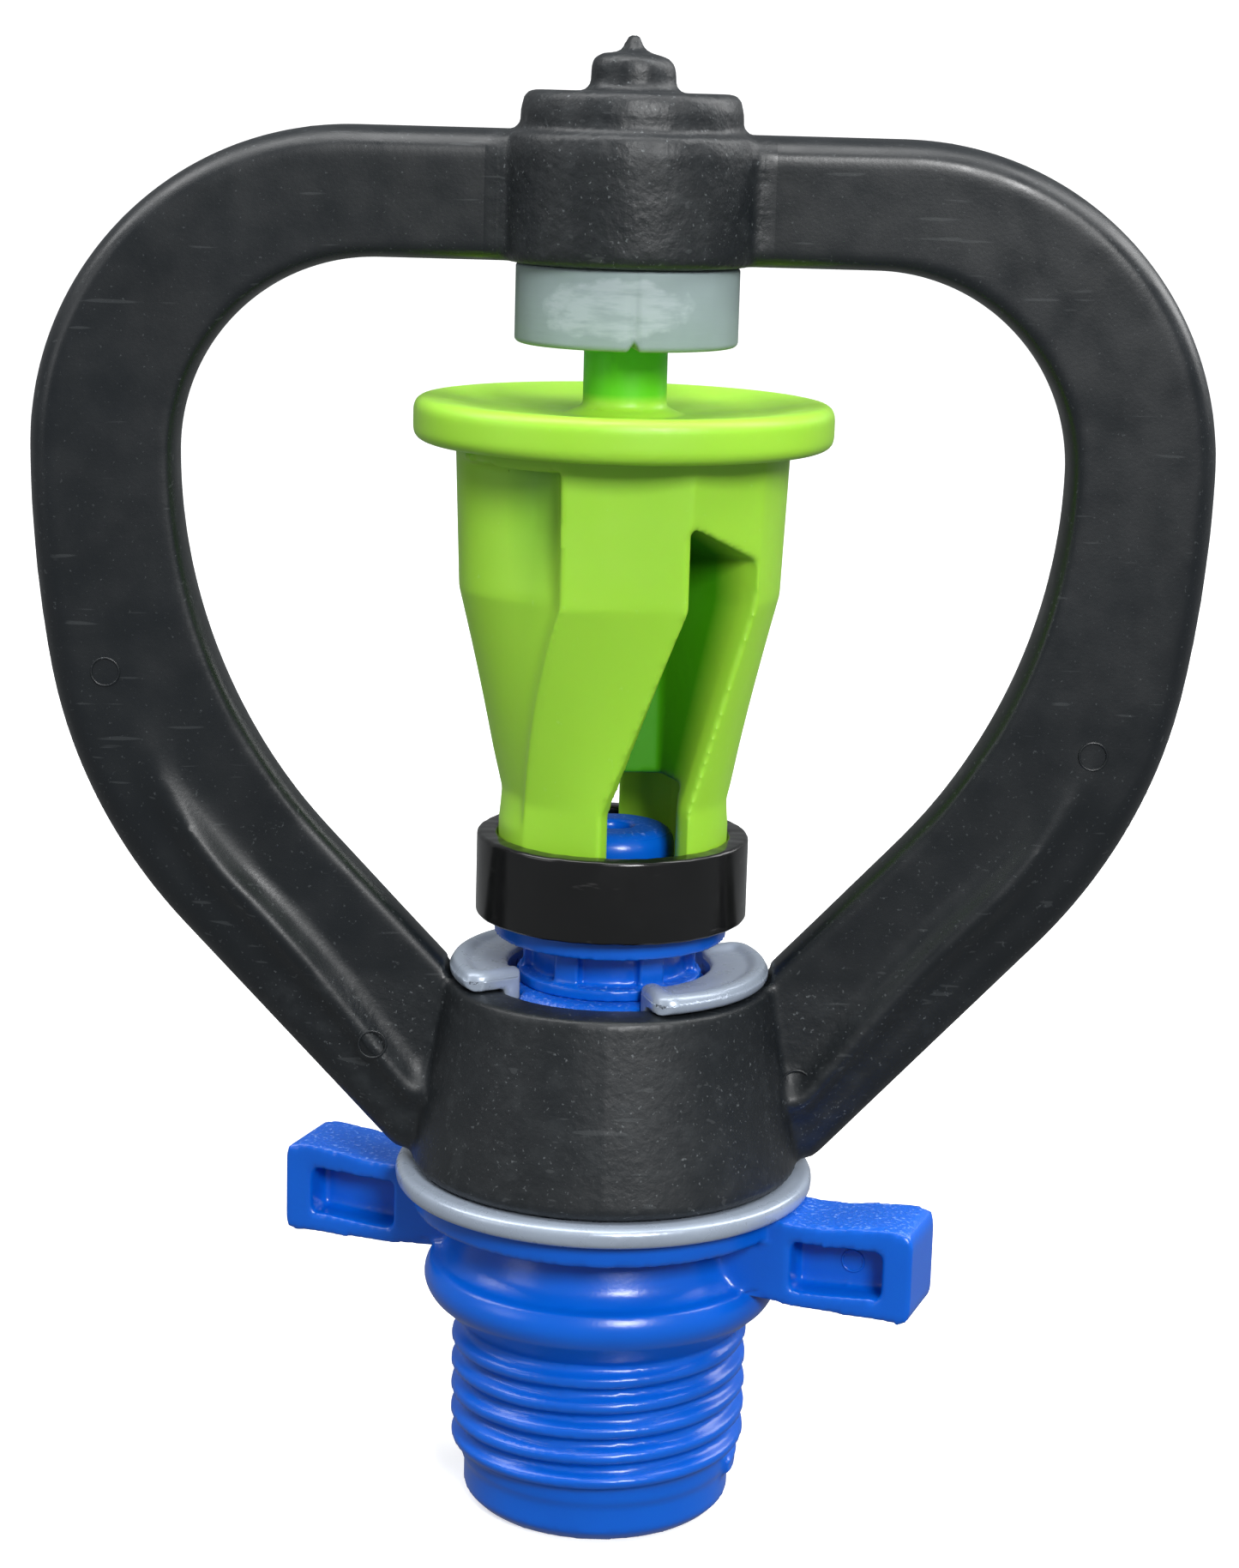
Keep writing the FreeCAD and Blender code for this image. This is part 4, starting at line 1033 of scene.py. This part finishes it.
ARC_BLOCK_STEPS = 24


def arc_block(start, end, inner, outer, low, high):
    """A closed block that follows an arc, between two angles in degrees."""
    points, faces = [], []
    for step in range(ARC_BLOCK_STEPS + 1):
        angle = start + (end - start) * step / ARC_BLOCK_STEPS
        for radius, up in ((inner, low), (outer, low), (outer, high), (inner, high)):
            points.append((*from_polar(radius, angle), up))
        if step:
            here = 4 * (step - 1)
            for corner in range(4):
                after = (corner + 1) % 4
                faces.append((here + corner, here + after, here + 4 + after, here + 4 + corner))
    faces += [(0, 1, 2, 3), tuple(len(points) - 4 + corner for corner in range(4))]
    return points, faces


SCOOP_LIP = (-24.0, -82.0, 8.6, 11.0, HOLLOW_ROOF, 74.6)
FLASH = (-66.0, -60.5, 10.2, 11.35, 72.5, 73.6)
CLEAR_OF_PIN = 10


def add_shells(piece, shells):
    """Grow closed shells onto a piece before it is remeshed."""
    extra = build("extra", shells)
    work = bmesh.new()
    work.from_mesh(piece.data)
    work.from_mesh(extra.data)
    work.to_mesh(piece.data)
    work.free()
    bpy.data.objects.remove(extra)


def make_threaded_base():
    """The CAD base with a fillet grown on its collar."""
    piece = from_cad("threaded_base", [lathe(COLLAR_FILLET, True)])
    reshape(piece, soften_base)
    stand_for(piece, "threaded_base")


def make_swivel_bush():
    """The CAD bush with its snap tabs reshaped."""
    piece = from_cad("swivel_bush")
    reshape(piece, shape_tabs)
    relax(piece, PASSES_AFTER_RESHAPE["swivel_bush"])
    stand_for(piece, "swivel_bush")


def make_nozzle():
    """The CAD nozzle with softened edges."""
    stand_for(from_cad("nozzle"), "nozzle")


def make_spinner():
    """The CAD spinner with a lip and a lump of flash under the disc, its hollows and its dish."""
    lips = []
    for half_turn in (0, 180):
        for start, end, *sizes in (SCOOP_LIP, FLASH):
            lips.append(arc_block(start + half_turn, end + half_turn, *sizes))
    points = [vertex.co for vertex in frame["nodes"]["spinner"].data.vertices]
    disc_top = max(point.z for point in points if point.xy.length > CLEAR_OF_PIN * MM) / MM
    piece = from_cad("spinner", lips)
    reshape(piece, shape_spinner(disc_top))
    relax(piece, PASSES_AFTER_RESHAPE["spinner"])
    stand_for(piece, "spinner")


WING_MARK = (18.4, 20.1, 0.8)
WING_MARK_RADIUS = 0.75


def make_wing_mark():
    """An ejector pin's round mark in the right wing's pocket."""
    points, faces = ring_mark(*WING_MARK, WING_MARK_RADIUS)
    turn = Matrix.Rotation(math.radians(BODY_TURN), 3, "Z")
    turned = [turn @ Vector(point) for point in points]
    go_with(build("wing_mark", [(turned, faces)]), "threaded_base")


make_wing_mark()
make_bridge()
make_bearing_bush()
make_skirt_ring()
make_threaded_base()
make_swivel_bush()
make_nozzle()
make_spinner()
paint_as(frame["nodes"]["nozzle_seal"], "nozzle_seal")
